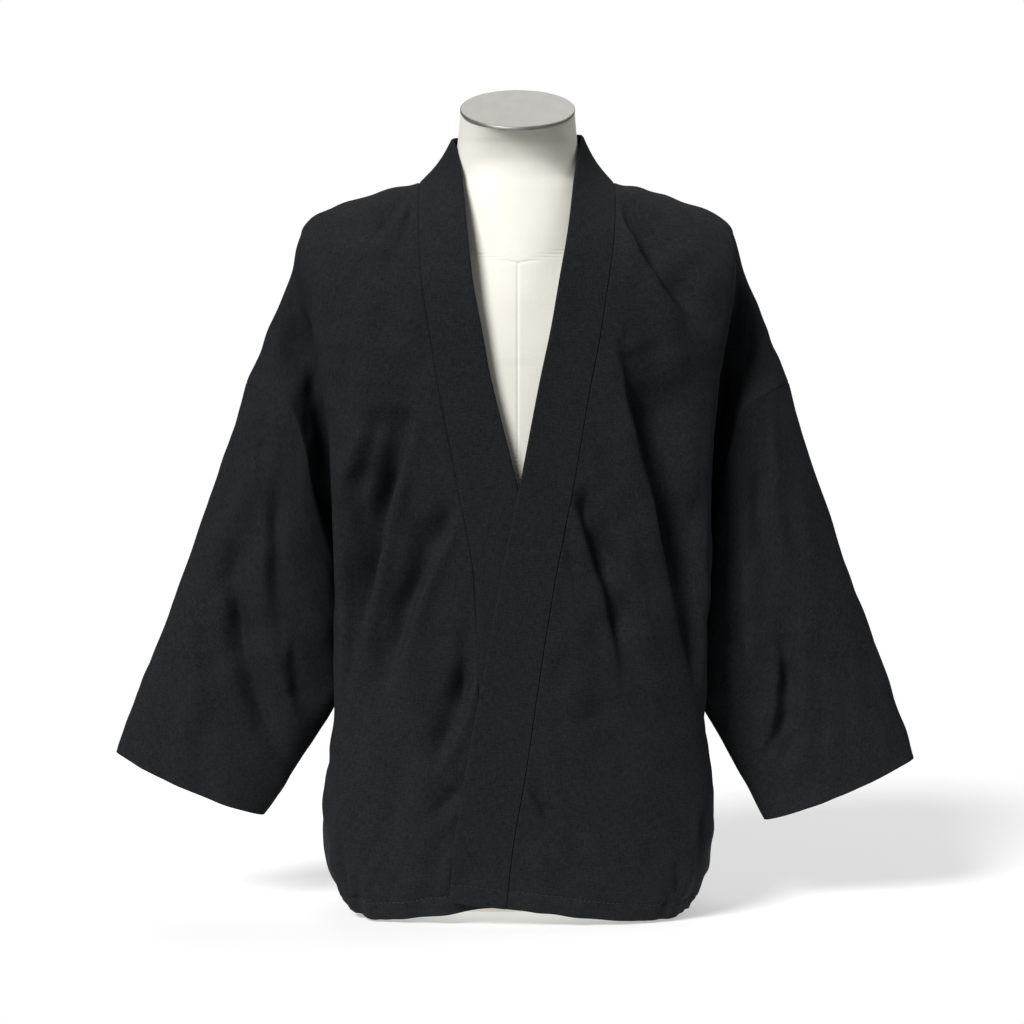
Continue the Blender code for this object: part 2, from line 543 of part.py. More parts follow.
def form(name):
    """The torso, one smooth solid with a flat base and a tilted neck top."""
    table = columns(FORM_COLUMNS, FORM)
    throat = columns(THROAT_COLUMNS, THROAT)
    angle = np.linspace(0, 2 * np.pi, FORM_AROUND, endpoint=False)
    points = []
    for k in range(len(FORM)):
        power = 0.9
        c = np.sign(np.cos(angle)) * np.abs(np.cos(angle)) ** power
        s = np.sign(np.sin(angle)) * np.abs(np.sin(angle)) ** power
        x = table["half_x"][k] * c
        y = np.where(s > 0, table["back_y"][k] * s, -table["front_y"][k] * s)
        reach = np.interp(table["z"][k], throat["z"], throat["front_y"])
        half = np.interp(table["z"][k], throat["z"], throat["half_x"])
        over = reach * np.sqrt(np.clip(1 - (x / half) ** 2, 0, 1))
        inside = (s < 0) & (throat["z"][0] <= table["z"][k] <= throat["z"][-1])
        y = np.where(inside, np.minimum(y, over), y)
        z = np.full(FORM_AROUND, table["z"][k])
        lean = np.clip((table["z"][k] - 0.783) / 0.05, 0, 1) ** 1.5
        z = z + lean * NECK_TILT * (y - PLATE_CENTRE[1])
        points.extend(np.stack([x, y, z], axis=1))
    count = len(FORM)
    faces = []
    for r in range(count - 1):
        for c in range(FORM_AROUND):
            d = (c + 1) % FORM_AROUND
            faces.append([r * FORM_AROUND + c, r * FORM_AROUND + d,
                          (r + 1) * FORM_AROUND + d, (r + 1) * FORM_AROUND + c])
    faces.append(list(range(FORM_AROUND))[::-1])
    faces.append([(count - 1) * FORM_AROUND + c for c in range(FORM_AROUND)])
    return solid(name, np.array(points), faces, CANVAS, 0.85)


def plate(name):
    """The neck plate, a thin oval disc on the tilted top of the neck."""
    angle = np.linspace(0, 2 * np.pi, PLATE_AROUND, endpoint=False)
    points = []
    for size, up in ((1.0, 0.0), (1.0, PLATE_THICK * 0.7), (0.985, PLATE_THICK)):
        x = PLATE_HALF_WIDTH * size * np.cos(angle)
        y = PLATE_HALF_DEPTH * size * np.sin(angle)
        z = PLATE_CENTRE[2] + NECK_TILT * y - 0.0022 + up
        points.extend(np.stack([x, y + PLATE_CENTRE[1], z], axis=1))
    faces = []
    for r in range(2):
        for c in range(PLATE_AROUND):
            d = (c + 1) % PLATE_AROUND
            faces.append([r * PLATE_AROUND + c, r * PLATE_AROUND + d,
                          (r + 1) * PLATE_AROUND + d, (r + 1) * PLATE_AROUND + c])
    faces.append(list(range(PLATE_AROUND))[::-1])
    faces.append([2 * PLATE_AROUND + c for c in range(PLATE_AROUND)])
    return solid(name, np.array(points), faces, METAL, 0.45, 0.8)


CLOTH = (0.017, 0.018, 0.021)
CANVAS = (0.84, 0.80, 0.70)
METAL = (0.55, 0.55, 0.52)

for old in list(bpy.data.objects):
    bpy.data.objects.remove(old, do_unlink=True)
home = bpy.data.collections.new("kimono_jacket_on_dress_form")
bpy.context.scene.collection.children.link(home)

body(1.0, "body_left")
body(-1.0, "body_right")
sleeve(1.0, "sleeve_left")
sleeve(-1.0, "sleeve_right")
band("collar_band")
form("torso_form")
plate("neck_plate")
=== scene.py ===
# %% [markdown]
# # A kimono jacket on a limbless dress form
# The jacket is a black cotton work jacket cut the old way, from straight lengths of narrow cloth.
# It hangs on a canvas torso with a metal neck plate. The measured solid model is the frame, and
# this lesson dresses it: every cloth piece becomes a thin sheet on its solid's form, with the
# creases set one by one, and gets a woven finish.

import math

import bmesh
import bpy
import numpy as np
from mathutils import Matrix, Vector


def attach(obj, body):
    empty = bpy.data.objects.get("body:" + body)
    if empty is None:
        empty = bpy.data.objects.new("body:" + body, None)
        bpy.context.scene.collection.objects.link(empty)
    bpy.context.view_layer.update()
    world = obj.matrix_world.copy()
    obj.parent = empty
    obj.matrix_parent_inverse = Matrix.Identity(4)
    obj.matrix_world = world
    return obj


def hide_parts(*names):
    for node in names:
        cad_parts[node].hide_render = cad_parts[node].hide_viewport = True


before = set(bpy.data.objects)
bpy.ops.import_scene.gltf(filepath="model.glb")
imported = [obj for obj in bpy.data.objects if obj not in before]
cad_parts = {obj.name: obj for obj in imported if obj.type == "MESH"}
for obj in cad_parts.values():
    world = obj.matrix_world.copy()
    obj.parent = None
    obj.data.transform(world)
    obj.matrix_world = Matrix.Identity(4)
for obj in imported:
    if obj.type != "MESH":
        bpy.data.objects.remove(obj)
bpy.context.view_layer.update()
print("solid pieces:", sorted(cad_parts))

# %% [markdown]
# ## The camera, the floor and the light
# The jacket is photographed straight from the front with a long lens, from a little above its
# middle, against white. A short lens would make the collar large and the hem small, so the
# camera stands back 3.2 metres. The camera never uses depth of field, because cloth is judged
# by its weave from neck to hem.

# %% Camera
LOOK_AT = Vector((-0.0058, 0.0, 0.416))
CAMERA_DISTANCE = 3.2
CAMERA_DROP = math.radians(4)

camera_data = bpy.data.cameras.new("camera")
camera_data.lens = 107.14
camera_data.sensor_width = 36.0
camera = bpy.data.objects.new("camera", camera_data)
away = Vector((0.0, -math.cos(CAMERA_DROP), math.sin(CAMERA_DROP)))
camera.location = LOOK_AT + away * CAMERA_DISTANCE
camera.rotation_euler = (-away).to_track_quat("-Z", "Y").to_euler()
bpy.context.scene.collection.objects.link(camera)
bpy.context.scene.camera = camera
bpy.context.scene.view_settings.view_transform = "Standard"
print("camera at", [round(c, 3) for c in camera.location])

# %% Making a material and an object
def new_material(name, rough=0.5):
    """A material, its node tree and its shader."""
    material = bpy.data.materials.new(name)
    material.use_nodes = True
    shader = material.node_tree.nodes["Principled BSDF"]
    shader.inputs["Roughness"].default_value = rough
    return material, material.node_tree, shader


def object_from(name, work, material):
    """A modelled shape as an object of the scene, in one finish."""
    mesh = bpy.data.meshes.new(name)
    work.to_mesh(mesh)
    work.free()
    mesh.materials.append(material)
    thing = bpy.data.objects.new(name, mesh)
    bpy.context.scene.collection.objects.link(thing)
    return thing


# %% Floor
FLOOR_HALF = 0.68
FLOOR_BACK = 0.4
FLOOR_GREY = (0.6, 0.6, 0.6, 1.0)
FLOOR_GLOW = 0.42
WHITE = (1.0, 1.0, 1.0, 1.0)

floor_paint, _, floor_shader = new_material("pale_floor", 0.9)
floor_shader.inputs["Base Color"].default_value = FLOOR_GREY
floor_shader.inputs["Emission Color"].default_value = WHITE
floor_shader.inputs["Emission Strength"].default_value = FLOOR_GLOW
floor_work = bmesh.new()
bmesh.ops.create_grid(floor_work, x_segments=2, y_segments=2, size=FLOOR_HALF)
floor = object_from("floor", floor_work, floor_paint)
floor.location = (0.0, FLOOR_BACK, 0.0)

# %% [markdown]
# The room is white only to the camera. To the cloth it is dim, because light that comes evenly
# from all sides would hide the folds.

# %% White surroundings
ROOM_LIGHT = 0.22
world = bpy.data.worlds.new("white_room")
world.use_nodes = True
room = world.node_tree
seen = room.nodes.new("ShaderNodeBackground")
seen.inputs["Color"].default_value = WHITE
room.nodes["Background"].inputs["Color"].default_value = WHITE
room.nodes["Background"].inputs["Strength"].default_value = ROOM_LIGHT
path = room.nodes.new("ShaderNodeLightPath")
choose = room.nodes.new("ShaderNodeMixShader")
room.links.new(path.outputs["Is Camera Ray"], choose.inputs[0])
room.links.new(room.nodes["Background"].outputs[0], choose.inputs[1])
room.links.new(seen.outputs[0], choose.inputs[2])
room.links.new(choose.outputs[0], room.nodes["World Output"].inputs["Surface"])
bpy.context.scene.world = world

# %% [markdown]
# Black cloth shows its folds only where light slides along them. One broad soft lamp stands
# at the front left and not high, a weaker one at the right and a little behind, and one hangs
# over and behind the shoulders, which draws the thin bright line along the top of them. All
# three are far away, so the floor is lit evenly, apart from the jacket's own soft shadow.

# %% Lamps
LAMP_DISTANCE = 4.0


def lamp(name, turn, height, strength, softness):
    """A far, soft lamp: the angles in degrees are round the jacket, above the floor, wide."""
    data = bpy.data.lights.new(name, "SUN")
    data.energy = strength
    data.angle = math.radians(softness)
    thing = bpy.data.objects.new(name, data)
    turn = math.radians(turn)
    height = math.radians(height)
    towards = Vector((math.sin(turn) * math.cos(height), -math.cos(turn) * math.cos(height),
                      math.sin(height)))
    thing.location = towards * LAMP_DISTANCE
    thing.rotation_euler = towards.to_track_quat("Z", "Y").to_euler()
    bpy.context.scene.collection.objects.link(thing)


lamp("key_lamp", -36.0, 38.0, 3.7, 22.0)
lamp("fill_lamp", 112.0, 44.0, 0.7, 40.0)
lamp("shoulder_lamp", 176.0, 46.0, 0.6, 36.0)

# %% [markdown]
# ## The finishes
# The jacket's cotton is a plain weave of slightly uneven yarn, dyed black and quite matt. Close
# up it shows fine threads both ways, and here and there a thicker stretch of yarn, a slub, that
# catches more light. The pattern follows the cloth, so it reads the sheet's own map, which is
# laid out in metres of flat cloth. A pattern on the object's coordinates would slide over folds.

# %% A helper that adds nodes
def add(tree, kind, **values):
    """A node with its properties or unlinked sockets set by name."""
    node = tree.nodes.new(kind)
    for name, value in values.items():
        if hasattr(node, name):
            setattr(node, name, value)
        else:
            node.inputs[name.replace("_", " ")].default_value = value
    return node


def stretched_noise(tree, source, scale, detail=2.0):
    """Noise on a mapped coordinate; scale is how many turns a metre along each way."""
    place = add(tree, "ShaderNodeMapping")
    place.inputs["Scale"].default_value = scale
    tree.links.new(source, place.inputs["Vector"])
    pattern = add(tree, "ShaderNodeTexNoise", Scale=1.0, Detail=detail, Roughness=0.55)
    tree.links.new(place.outputs["Vector"], pattern.inputs["Vector"])
    return pattern.outputs["Fac"]


def mix_values(tree, how, a, b):
    """Two numbers put together by a Math node; b may be a plain number."""
    node = add(tree, "ShaderNodeMath", operation=how)
    for socket, value in zip(node.inputs, (a, b)):
        if isinstance(value, (int, float)):
            socket.default_value = value
        else:
            tree.links.new(value, socket)
    return node.outputs[0]


# %% Helpers that finish a material
BUMP_HEIGHT = 0.0004


def ranged(tree, value, **ends):
    """A value carried from one range to another."""
    node = add(tree, "ShaderNodeMapRange")
    for name, end in ends.items():
        node.inputs[name.replace("_", " ")].default_value = end
    tree.links.new(value, node.inputs["Value"])
    return node.outputs["Result"]


def two_colours(tree, shader, share, *ends):
    """The shader's colour, run by a share from one (place, colour) to another."""
    ramp = add(tree, "ShaderNodeValToRGB")
    for k, (place, colour) in enumerate(ends):
        ramp.color_ramp.elements[k].color = (*colour, 1.0)
        ramp.color_ramp.elements[k].position = place
    tree.links.new(share, ramp.inputs["Fac"])
    tree.links.new(ramp.outputs["Color"], shader.inputs["Base Color"])


def bumped(tree, shader, height, strength):
    """A fine relief on the shader's normal."""
    bump = add(tree, "ShaderNodeBump", Strength=strength, Distance=BUMP_HEIGHT)
    tree.links.new(height, bump.inputs["Height"])
    tree.links.new(bump.outputs["Normal"], shader.inputs["Normal"])


# %% The black cotton
THREADS_PER_METRE = 820.0
SLUB_LENGTH_TURNS = 130.0


def black_cotton(name):
    """Plain-woven black cotton with slubs, on the cloth's own flat map."""
    material, tree, shader = new_material(name, 0.86)
    shader.inputs["Specular IOR Level"].default_value = 0.08
    shader.inputs["Sheen Weight"].default_value = 0.003
    shader.inputs["Sheen Roughness"].default_value = 0.4
    cut = add(tree, "ShaderNodeUVMap", uv_map="cut").outputs["UV"]
    along = stretched_noise(tree, cut, (THREADS_PER_METRE, SLUB_LENGTH_TURNS, 1.0))
    across = stretched_noise(tree, cut, (SLUB_LENGTH_TURNS, THREADS_PER_METRE, 1.0))
    cloud = stretched_noise(tree, cut, (28.0, 28.0, 1.0), 4.0)
    fleck = stretched_noise(tree, cut, (620.0, 620.0, 1.0), 1.0)
    threads = mix_values(tree, "ADD", along, across)
    threads = mix_values(tree, "MULTIPLY", threads, 0.5)
    bright = ranged(tree, threads, From_Min=0.35, From_Max=0.65, To_Min=0.0, To_Max=0.65)
    sparks = ranged(tree, fleck, From_Min=0.62, From_Max=0.78, To_Min=0.0, To_Max=1.2)
    total = mix_values(tree, "ADD", bright, sparks)
    soft = mix_values(tree, "MULTIPLY", cloud, 0.35)
    total = mix_values(tree, "ADD", total, soft)
    two_colours(tree, shader, total, (0.0, (0.0048, 0.0056, 0.0066)),
                (1.0, (0.0198, 0.0218, 0.0242)))
    bumped(tree, shader, threads, 0.45)
    return material


COTTON = black_cotton("black_cotton")

# %% [markdown]
# The form is covered in cream canvas, sized and a little rubbed, so it is flatter and paler
# than the jacket. Its pattern may read the object's coordinates, because canvas glued to a
# torso doesn't stretch or hang. The neck plate is dull cast metal with a cloudy surface.

# %% Canvas, metal and thread
def cream_canvas(name):
    """Cream canvas glued to the form, with faint cloudy wear."""
    material, tree, shader = new_material(name, 0.78)
    shader.inputs["Specular IOR Level"].default_value = 0.3
    place = add(tree, "ShaderNodeTexCoord").outputs["Object"]
    cloud = stretched_noise(tree, place, (16.0, 16.0, 9.0), 5.0)
    weave_up = stretched_noise(tree, place, (900.0, 900.0, 120.0))
    weave_side = stretched_noise(tree, place, (120.0, 120.0, 900.0))
    two_colours(tree, shader, cloud, (0.3, (0.79, 0.775, 0.685)), (0.7, (0.86, 0.845, 0.765)))
    bumped(tree, shader, mix_values(tree, "ADD", weave_up, weave_side), 0.3)
    return material


def cloudy_metal(name):
    """Dull metal with a cloudy, hand-rubbed surface."""
    material, tree, shader = new_material(name)
    shader.inputs["Metallic"].default_value = 0.85
    place = add(tree, "ShaderNodeTexCoord").outputs["Object"]
    cloud = stretched_noise(tree, place, (55.0, 26.0, 26.0), 6.0)
    two_colours(tree, shader, cloud, (0.32, (0.250, 0.246, 0.222)), (0.68, (0.350, 0.345, 0.316)))
    rough = ranged(tree, cloud, To_Min=0.34, To_Max=0.56)
    tree.links.new(rough, shader.inputs["Roughness"])
    return material


def black_thread(name):
    """Twisted black sewing thread, a touch glossier than the cloth."""
    material, tree, shader = new_material(name, 0.55)
    place = add(tree, "ShaderNodeTexCoord").outputs["Object"]
    twist = stretched_noise(tree, place, (2400.0, 2400.0, 2400.0))
    two_colours(tree, shader, twist, (0.0, (0.006, 0.006, 0.007)), (1.0, (0.030, 0.030, 0.033)))
    return material


CANVAS = cream_canvas("cream_canvas")
METAL = cloudy_metal("cloudy_metal")
THREAD = black_thread("black_thread")
print("finishes:", [m.name for m in (COTTON, CANVAS, METAL, THREAD)])

# %% [markdown]
# ## The jacket's form
# A kimono jacket has no shoulder seam: each side is one length of cloth that starts at the
# front hem, goes over the shoulder and ends at the back hem. So one table describes a whole
# panel. Each row is a line across the cloth, at a drop measured down from the shoulder, front
# positive and back negative, from the band's seam round the body to the side seam. The same
# table shapes the solid model, and the scene reads it at a finer pitch.

# %% Sizes of the jacket
CLOTH_WALL = 0.0012
BAND_WALL = 0.0024
SEAM_GAP = 0.0003
UNDERARM_TURN = 0.7
UNDERARM_ROOM = 0.0014
JACKET_LENGTH = 0.79
ARMHOLE_DROP = 0.25
BACK_NECK_DROP = 0.055
CASING_DEPTH = 0.021

# %% Sections of a body panel
SECTION_COLUMNS = (
    "drop in_x in_z mid_y fold_x fold_y fold_z deep_x deep_y deep_z out_x out_y out_z"
).split()
SECTIONS = [
    (-.7900, .0002, .0150, .1200, .1680, .0660, .0150, .1710, .0480, .0160, .1670, .0300, .0170),
    (-.7200, .0002, .0750, .1340, .1920, .0820, .0610, .1980, .0550, .0530, .1960, .0300, .0450),
    (-.6500, .0002, .1450, .1360, .1960, .0860, .1190, .2010, .0580, .1050, .1990, .0300, .0920),
    (-.5500, .0002, .2450, .1240, .1860, .0860, .2110, .1880, .0560, .1910, .1840, .0300, .1730),
    (-.4500, .0002, .3450, .1180, .1840, .0850, .3070, .1840, .0540, .2810, .1790, .0200, .2570),
    (-.3500, .0002, .4450, .1200, .1900, .0840, .4050, .1840, .0460, .3670, .1800, .0110, .3300),
    (-.2500, .0002, .5450, .1280, .2000, .0820, .5030, .1870, .0400, .4500, .1925, .0026, .4000),
    (-.2000, .0002, .5950, .1300, .2060, .0800, .5510, .1970, .0380, .4980, .2060, .0300, .4450),
    (-.1500, .0002, .6470, .1280, .2120, .0740, .5990, .2040, .0340, .5470, .2150, .0440, .4870),
    (-.1000, .0002, .7030, .1120, .2180, .0640, .6450, .2140, .0280, .5910, .2260, .0480, .5230),
    (-.0550, .0002, .7455, .0880, .2220, .0440, .6810, .2270, .0220, .6270, .2540, .0400, .5390),
    (-.0350, .0450, .7510, .0800, .2230, .0320, .6930, .2330, .0180, .6380, .2670, .0300, .5450),
    (-.0180, .0780, .7560, .0598, .2240, .0190, .7020, .2380, .0120, .6480, .2770, .0180, .5490),
    (-.0080, .0940, .7595, .0380, .2240, .0110, .7050, .2400, .0080, .6520, .2810, .0110, .5505),
    (.0000, .1000, .7600, .0100, .2240, .0040, .7070, .2415, .0040, .6550, .2840, .0050, .5510),
    (.0200, .1005, .7510, -.0200, .2235, -.0140, .6990, .2380, -.0040, .6470, .2770, -.0120, .5490),
    (.0450, .1000, .7330, -.0500, .2230, -.0340, .6830, .2310, -.0060, .6310, .2620, -.0300, .5420),
    (.0900, .0975, .7010, -.0920, .2215, -.0600, .6470, .2145, -.0060, .5960, .2330, -.0440, .5250),
    (.1500, .0900, .6500, -.1180, .2120, -.0740, .5950, .2005, -.0080, .5500, .2200, -.0440, .4870),
    (.2000, .0825, .6010, -.1270, .2045, -.0780, .5480, .1930, -.0060, .5000, .2110, -.0340, .4450),
    (.2500, .0730, .5520, -.1320, .2005, -.0780, .5000, .1850, -.0060, .4520, .1925, .0014, .4000),
    (.3500, .0560, .4530, -.1380, .1985, -.0760, .4030, .1840, -.0120, .3670, .1800, .0104, .3300),
    (.4500, .0370, .3540, -.1410, .1960, -.0740, .3060, .1840, -.0200, .2810, .1790, .0196, .2570),
    (.5500, .0215, .2550, -.1430, .1930, -.0740, .2090, .1900, -.0220, .1910, .1840, .0296, .1730),
    (.6500, .0070, .1560, -.1480, .2025, -.0740, .1130, .2040, -.0240, .1030, .1990, .0296, .0920),
    (.7200, -.0050, .0850, -.1420, .1950, -.0700, .0550, .2010, -.0220, .0490, .1960, .0296, .0450),
    (.7900, -.0120, .0190, -.1220, .1760, -.0620, .0090, .1750, -.0160, .0130, .1670, .0296, .0170),
]

# %% What differs on the wearer's right, which lies under
UNDER_COLUMNS = "drop in_x fold_x behind".split()
UNDER = [
    (-0.790, 0.0002, 0.166, 0.000),
    (-0.018, 0.0780, 0.225, 0.000),
    (0.000, 0.1020, 0.226, 0.000),
    (0.045, 0.1015, 0.225, 0.000),
    (0.090, 0.1000, 0.2170, 0.001),
    (0.150, 0.0960, 0.2060, 0.002),
    (0.200, 0.0880, 0.1990, 0.003),
    (0.250, 0.0800, 0.1930, 0.005),
    (0.350, 0.0610, 0.1890, 0.0075),
    (0.450, 0.0440, 0.1880, 0.0085),
    (0.550, 0.0400, 0.1890, 0.0085),
    (0.650, 0.0300, 0.2005, 0.0085),
    (0.720, 0.0250, 0.1940, 0.0085),
    (0.790, 0.0200, 0.1740, 0.0085),
]

# %% Reading a table smoothly
def columns(names, rows):
    """A table's columns by name."""
    table = np.array(rows, float)
    return {name: table[:, k] for k, name in enumerate(names)}


def through(keys, values, at):
    """A smooth line through values at keys, without overshoot."""
    keys = np.asarray(keys, float)
    values = np.asarray(values, float)
    at = np.clip(np.asarray(at, float), keys[0], keys[-1])
    run = np.diff(keys).reshape((-1,) + (1,) * (values.ndim - 1))
    rise = np.diff(values, axis=0) / run
    w = (run[1:] + 2 * run[:-1]) / (3 * (run[1:] + run[:-1]))
    same = rise[1:] * rise[:-1] > 0
    safe = np.where(same, (1 - w) * rise[1:] + w * rise[:-1], 1.0)
    inner = np.where(same, rise[1:] * rise[:-1] / safe, 0.0)
    slope = np.concatenate([rise[:1], inner, rise[-1:]])
    i = np.clip(np.searchsorted(keys, at, side="right") - 1, 0, len(keys) - 2)
    step = keys[i + 1] - keys[i]
    shape = (-1,) + (1,) * (values.ndim - 1)
    t = ((at - keys[i]) / step).reshape(shape)
    step = step.reshape(shape)
    a = values[i] * (2 * t**3 - 3 * t**2 + 1) + slope[i] * step * (t**3 - 2 * t**2 + t)
    return a + values[i + 1] * (3 * t**2 - 2 * t**3) + slope[i + 1] * step * (t**3 - t**2)


def even(points, count):
    """The same line with count points evenly along it."""
    steps = np.linalg.norm(np.diff(points, axis=0), axis=1)
    run = np.concatenate([[0.0], np.cumsum(steps)])
    at = np.linspace(0.0, run[-1], count)
    return np.stack([np.interp(at, run, points[:, k]) for k in range(3)], axis=1)


# %% One line across a panel
ARC_POINTS = 76
OUT_POINTS = 41
ARC_FINE = 160
TURN_FINE = 240
TURN_START = 24
HEM_SAG = 0.0105
DEEP_FLOOR = 0.3


def section(row):
    """One row of the panel from the band seam round the fold and out to the side."""
    start = np.arcsin(np.clip(row["in_x"] / row["fold_x"], -1.0, 1.0))
    angle = np.linspace(start, np.pi / 2, ARC_FINE)
    share = (angle - start) / (np.pi / 2 - start)
    x = row["fold_x"] * np.sin(angle)
    y = row["fold_y"] + (row["mid_y"] - row["fold_y"]) * np.cos(angle) ** 0.9
    y = y + row["behind"] * (1 - share) ** 0.7
    z = row["in_z"] + (row["fold_z"] - row["in_z"]) * share**1.05
    z = z - row["sag"] * np.sin(np.pi * share) ** 1.3
    arc = np.stack([x, y, z], axis=1)
    deep = np.array([row["deep_x"], row["deep_y"], row["deep_z"]])
    out = np.array([row["out_x"], row["out_y"], row["out_z"]])
    bottom = deep + (out - deep) * DEEP_FLOOR * np.array([1.0, 0.15, 1.0])
    turn = np.array([arc[-TURN_START], arc[-1], deep, bottom, out])
    keys = np.concatenate([[0.0], np.cumsum(np.linalg.norm(np.diff(turn, axis=0), axis=1))])
    outer = even(through(keys, turn, np.linspace(keys[1], keys[-1], TURN_FINE)), OUT_POINTS)
    return np.concatenate([even(arc, ARC_POINTS), outer[1:]])


# %% A whole panel
def body_net(side, drops):
    """Points of a panel at the drops asked for; side +1 is the wearer's left."""
    base = columns(SECTION_COLUMNS, SECTIONS)
    base["behind"] = np.zeros(len(SECTIONS))
    base["sag"] = np.interp(np.abs(base["drop"]), [0.6, JACKET_LENGTH], [0.0, HEM_SAG])
    if side < 0:
        under = columns(UNDER_COLUMNS, UNDER)
        for name in ("fold_x", "behind"):
            base[name] = np.interp(base["drop"], under["drop"], under[name])
        front = base["drop"] >= 0
        base["in_x"][front] = np.interp(base["drop"][front], under["drop"], under["in_x"])
        base["deep_x"] = base["deep_x"] - 0.002
    rows = [section({name: base[name][k] for name in base}) for k in range(len(SECTIONS))]
    net = through(base["drop"], np.array(rows), drops)
    back = np.asarray(drops) <= 0
    net[back, :, 0] = np.maximum(net[back, :, 0], SEAM_GAP / 2)
    return net * np.array([side, 1.0, 1.0])


def join_side(net, drops):
    """The same net with the front's and the back's side edges brought 0.3 mm apart."""
    middle = (net[:, -1] + net[::-1, -1]) / 2
    middle[:, 1] -= np.sign(drops) * SEAM_GAP / 2
    below = (np.abs(drops) >= ARMHOLE_DROP - 0.0005)[:, None, None]
    share = np.clip((np.linspace(0, 1, net.shape[1]) - 0.8) / 0.2, 0, 1)[None, :, None]
    return net + (middle - net[:, -1])[:, None] * below * share


def normals(net, around=False):
    """Unit normals of a net, as (down the rows) x (along the columns)."""
    down = np.gradient(net, axis=0)
    if around:
        along = (np.roll(net, -1, axis=1) - np.roll(net, 1, axis=1)) / 2
    else:
        along = np.gradient(net, axis=1)
    up = np.cross(down, along)
    return up / np.maximum(np.linalg.norm(up, axis=2, keepdims=True), 1e-12)


# %% [markdown]
# ## Creases set one by one
# Cloth that hangs from a point folds along soft lines that run down and towards where it is
# caught. Such a fold isn't even: one side is steeper, its depth comes and goes, and the cloth
# pushed out of a trough stands up a little beside it. Each crease is a line through three
# points of the photograph's plane, from top to bottom, with a width to its left, a width to
# its right and a height, troughs below zero. Where one width is much the smaller, that side is
# a sharp wall. A simulation would give folds of its own, but not these, so they are placed.

# %% The shape of one crease
UNEVEN = 0.2
SHARP_FROM = 1.6
LINE_POINTS = 41
CREST = 0.16


def crease_heights(net, creases):
    """How far the creases lift or sink each point, seen from the front."""
    total = np.zeros(net.shape[:2])
    for number, (x0, z0, x1, z1, x2, z2, left, right, high) in enumerate(creases):
        t = np.linspace(0.0, 1.0, LINE_POINTS)[:, None]
        a = np.array([[x0, z0]])
        c = np.array([[x2, z2]])
        b = 2 * np.array([[x1, z1]]) - (a + c) / 2
        line = a * (1 - t) ** 2 + 2 * b * t * (1 - t) + c * t**2
        ahead = np.gradient(line, axis=0)
        ahead /= np.linalg.norm(ahead, axis=1, keepdims=True)
        reach = np.full(net.shape[:2], 1e9)
        near = np.zeros(net.shape[:2], int)
        for k in range(len(line)):
            apart = np.hypot(net[..., 0] - line[k, 0], net[..., 2] - line[k, 1])
            closer = apart < reach
            reach = np.where(closer, apart, reach)
            near = np.where(closer, k, near)
        dx = net[..., 0] - line[near, 0]
        dz = net[..., 2] - line[near, 1]
        beside = dx * ahead[near, 1] - dz * ahead[near, 0]
        along = dx * ahead[near, 0] + dz * ahead[near, 1]
        step = np.linalg.norm(line[-1] - line[0]) / (len(line) - 1)
        exact = np.clip(near + along / step, 0, len(line) - 1)
        beyond = np.maximum(np.abs(along) - np.abs(exact - near) * step, 0)
        reach = np.hypot(beside, beyond)
        near = exact
        wander = np.sin(near * 0.31 + 2.1 * number) + 0.6 * np.sin(near * 0.73 + number)
        swell = 1 + 0.5 * UNEVEN * wander
        blend = 0.5 + 0.5 * np.tanh(beside / (0.4 * min(left, right)))
        width = (right + (left - right) * blend) * swell
        shape = np.exp(-((reach / width) ** 2))
        steep, steep_side = (left, blend) if left < right else (right, 1 - blend)
        if max(left, right) > SHARP_FROM * steep:
            wall = np.clip(1 - (reach / (steep * swell)) ** 2.4, 0, 1)
            shape = np.where(steep_side > 0.5, wall, shape)
        depth = high * (1 + UNEVEN * np.sin(near * 0.47 + 1.3 * number))
        fade = np.sin(np.pi * np.clip((near + 0.5) / LINE_POINTS, 0, 1)) ** 0.8
        crest = CREST * np.exp(-(((reach - 1.5 * steep) / (0.8 * steep)) ** 2)) * steep_side
        total += depth * fade * (shape - crest)
    return total


# %% Creases of the two fronts
CREASES_LEFT = [
    (0.110, 0.756, 0.138, 0.684, 0.200, 0.604, 0.012, 0.024, -0.0190),
    (0.104, 0.702, 0.146, 0.640, 0.170, 0.570, 0.012, 0.010, 0.0045),
    (0.112, 0.590, 0.147, 0.450, 0.191, 0.245, 0.0150, 0.036, -0.0300),
    (0.160, 0.540, 0.184, 0.410, 0.190, 0.262, 0.010, 0.012, 0.0040),
    (0.054, 0.446, 0.084, 0.380, 0.112, 0.258, 0.009, 0.016, -0.0150),
    (0.084, 0.446, 0.116, 0.372, 0.140, 0.262, 0.012, 0.014, 0.0050),
    (0.043, 0.420, 0.050, 0.386, 0.062, 0.350, 0.006, 0.006, -0.0040),
    (0.010, 0.154, 0.024, 0.128, 0.044, 0.106, 0.005, 0.010, -0.0060),
    (0.199, 0.145, 0.190, 0.101, 0.185, 0.030, 0.005, 0.010, -0.0070),
    (0.162, 0.070, 0.164, 0.040, 0.165, 0.012, 0.004, 0.006, -0.0035),
    (0.114, 0.750, 0.132, 0.736, 0.150, 0.723, 0.004, 0.004, 0.0018),
    (0.123, 0.751, 0.142, 0.737, 0.162, 0.725, 0.004, 0.004, 0.0018),
    (0.070, 0.250, 0.096, 0.200, 0.110, 0.150, 0.020, 0.016, -0.0040),
]
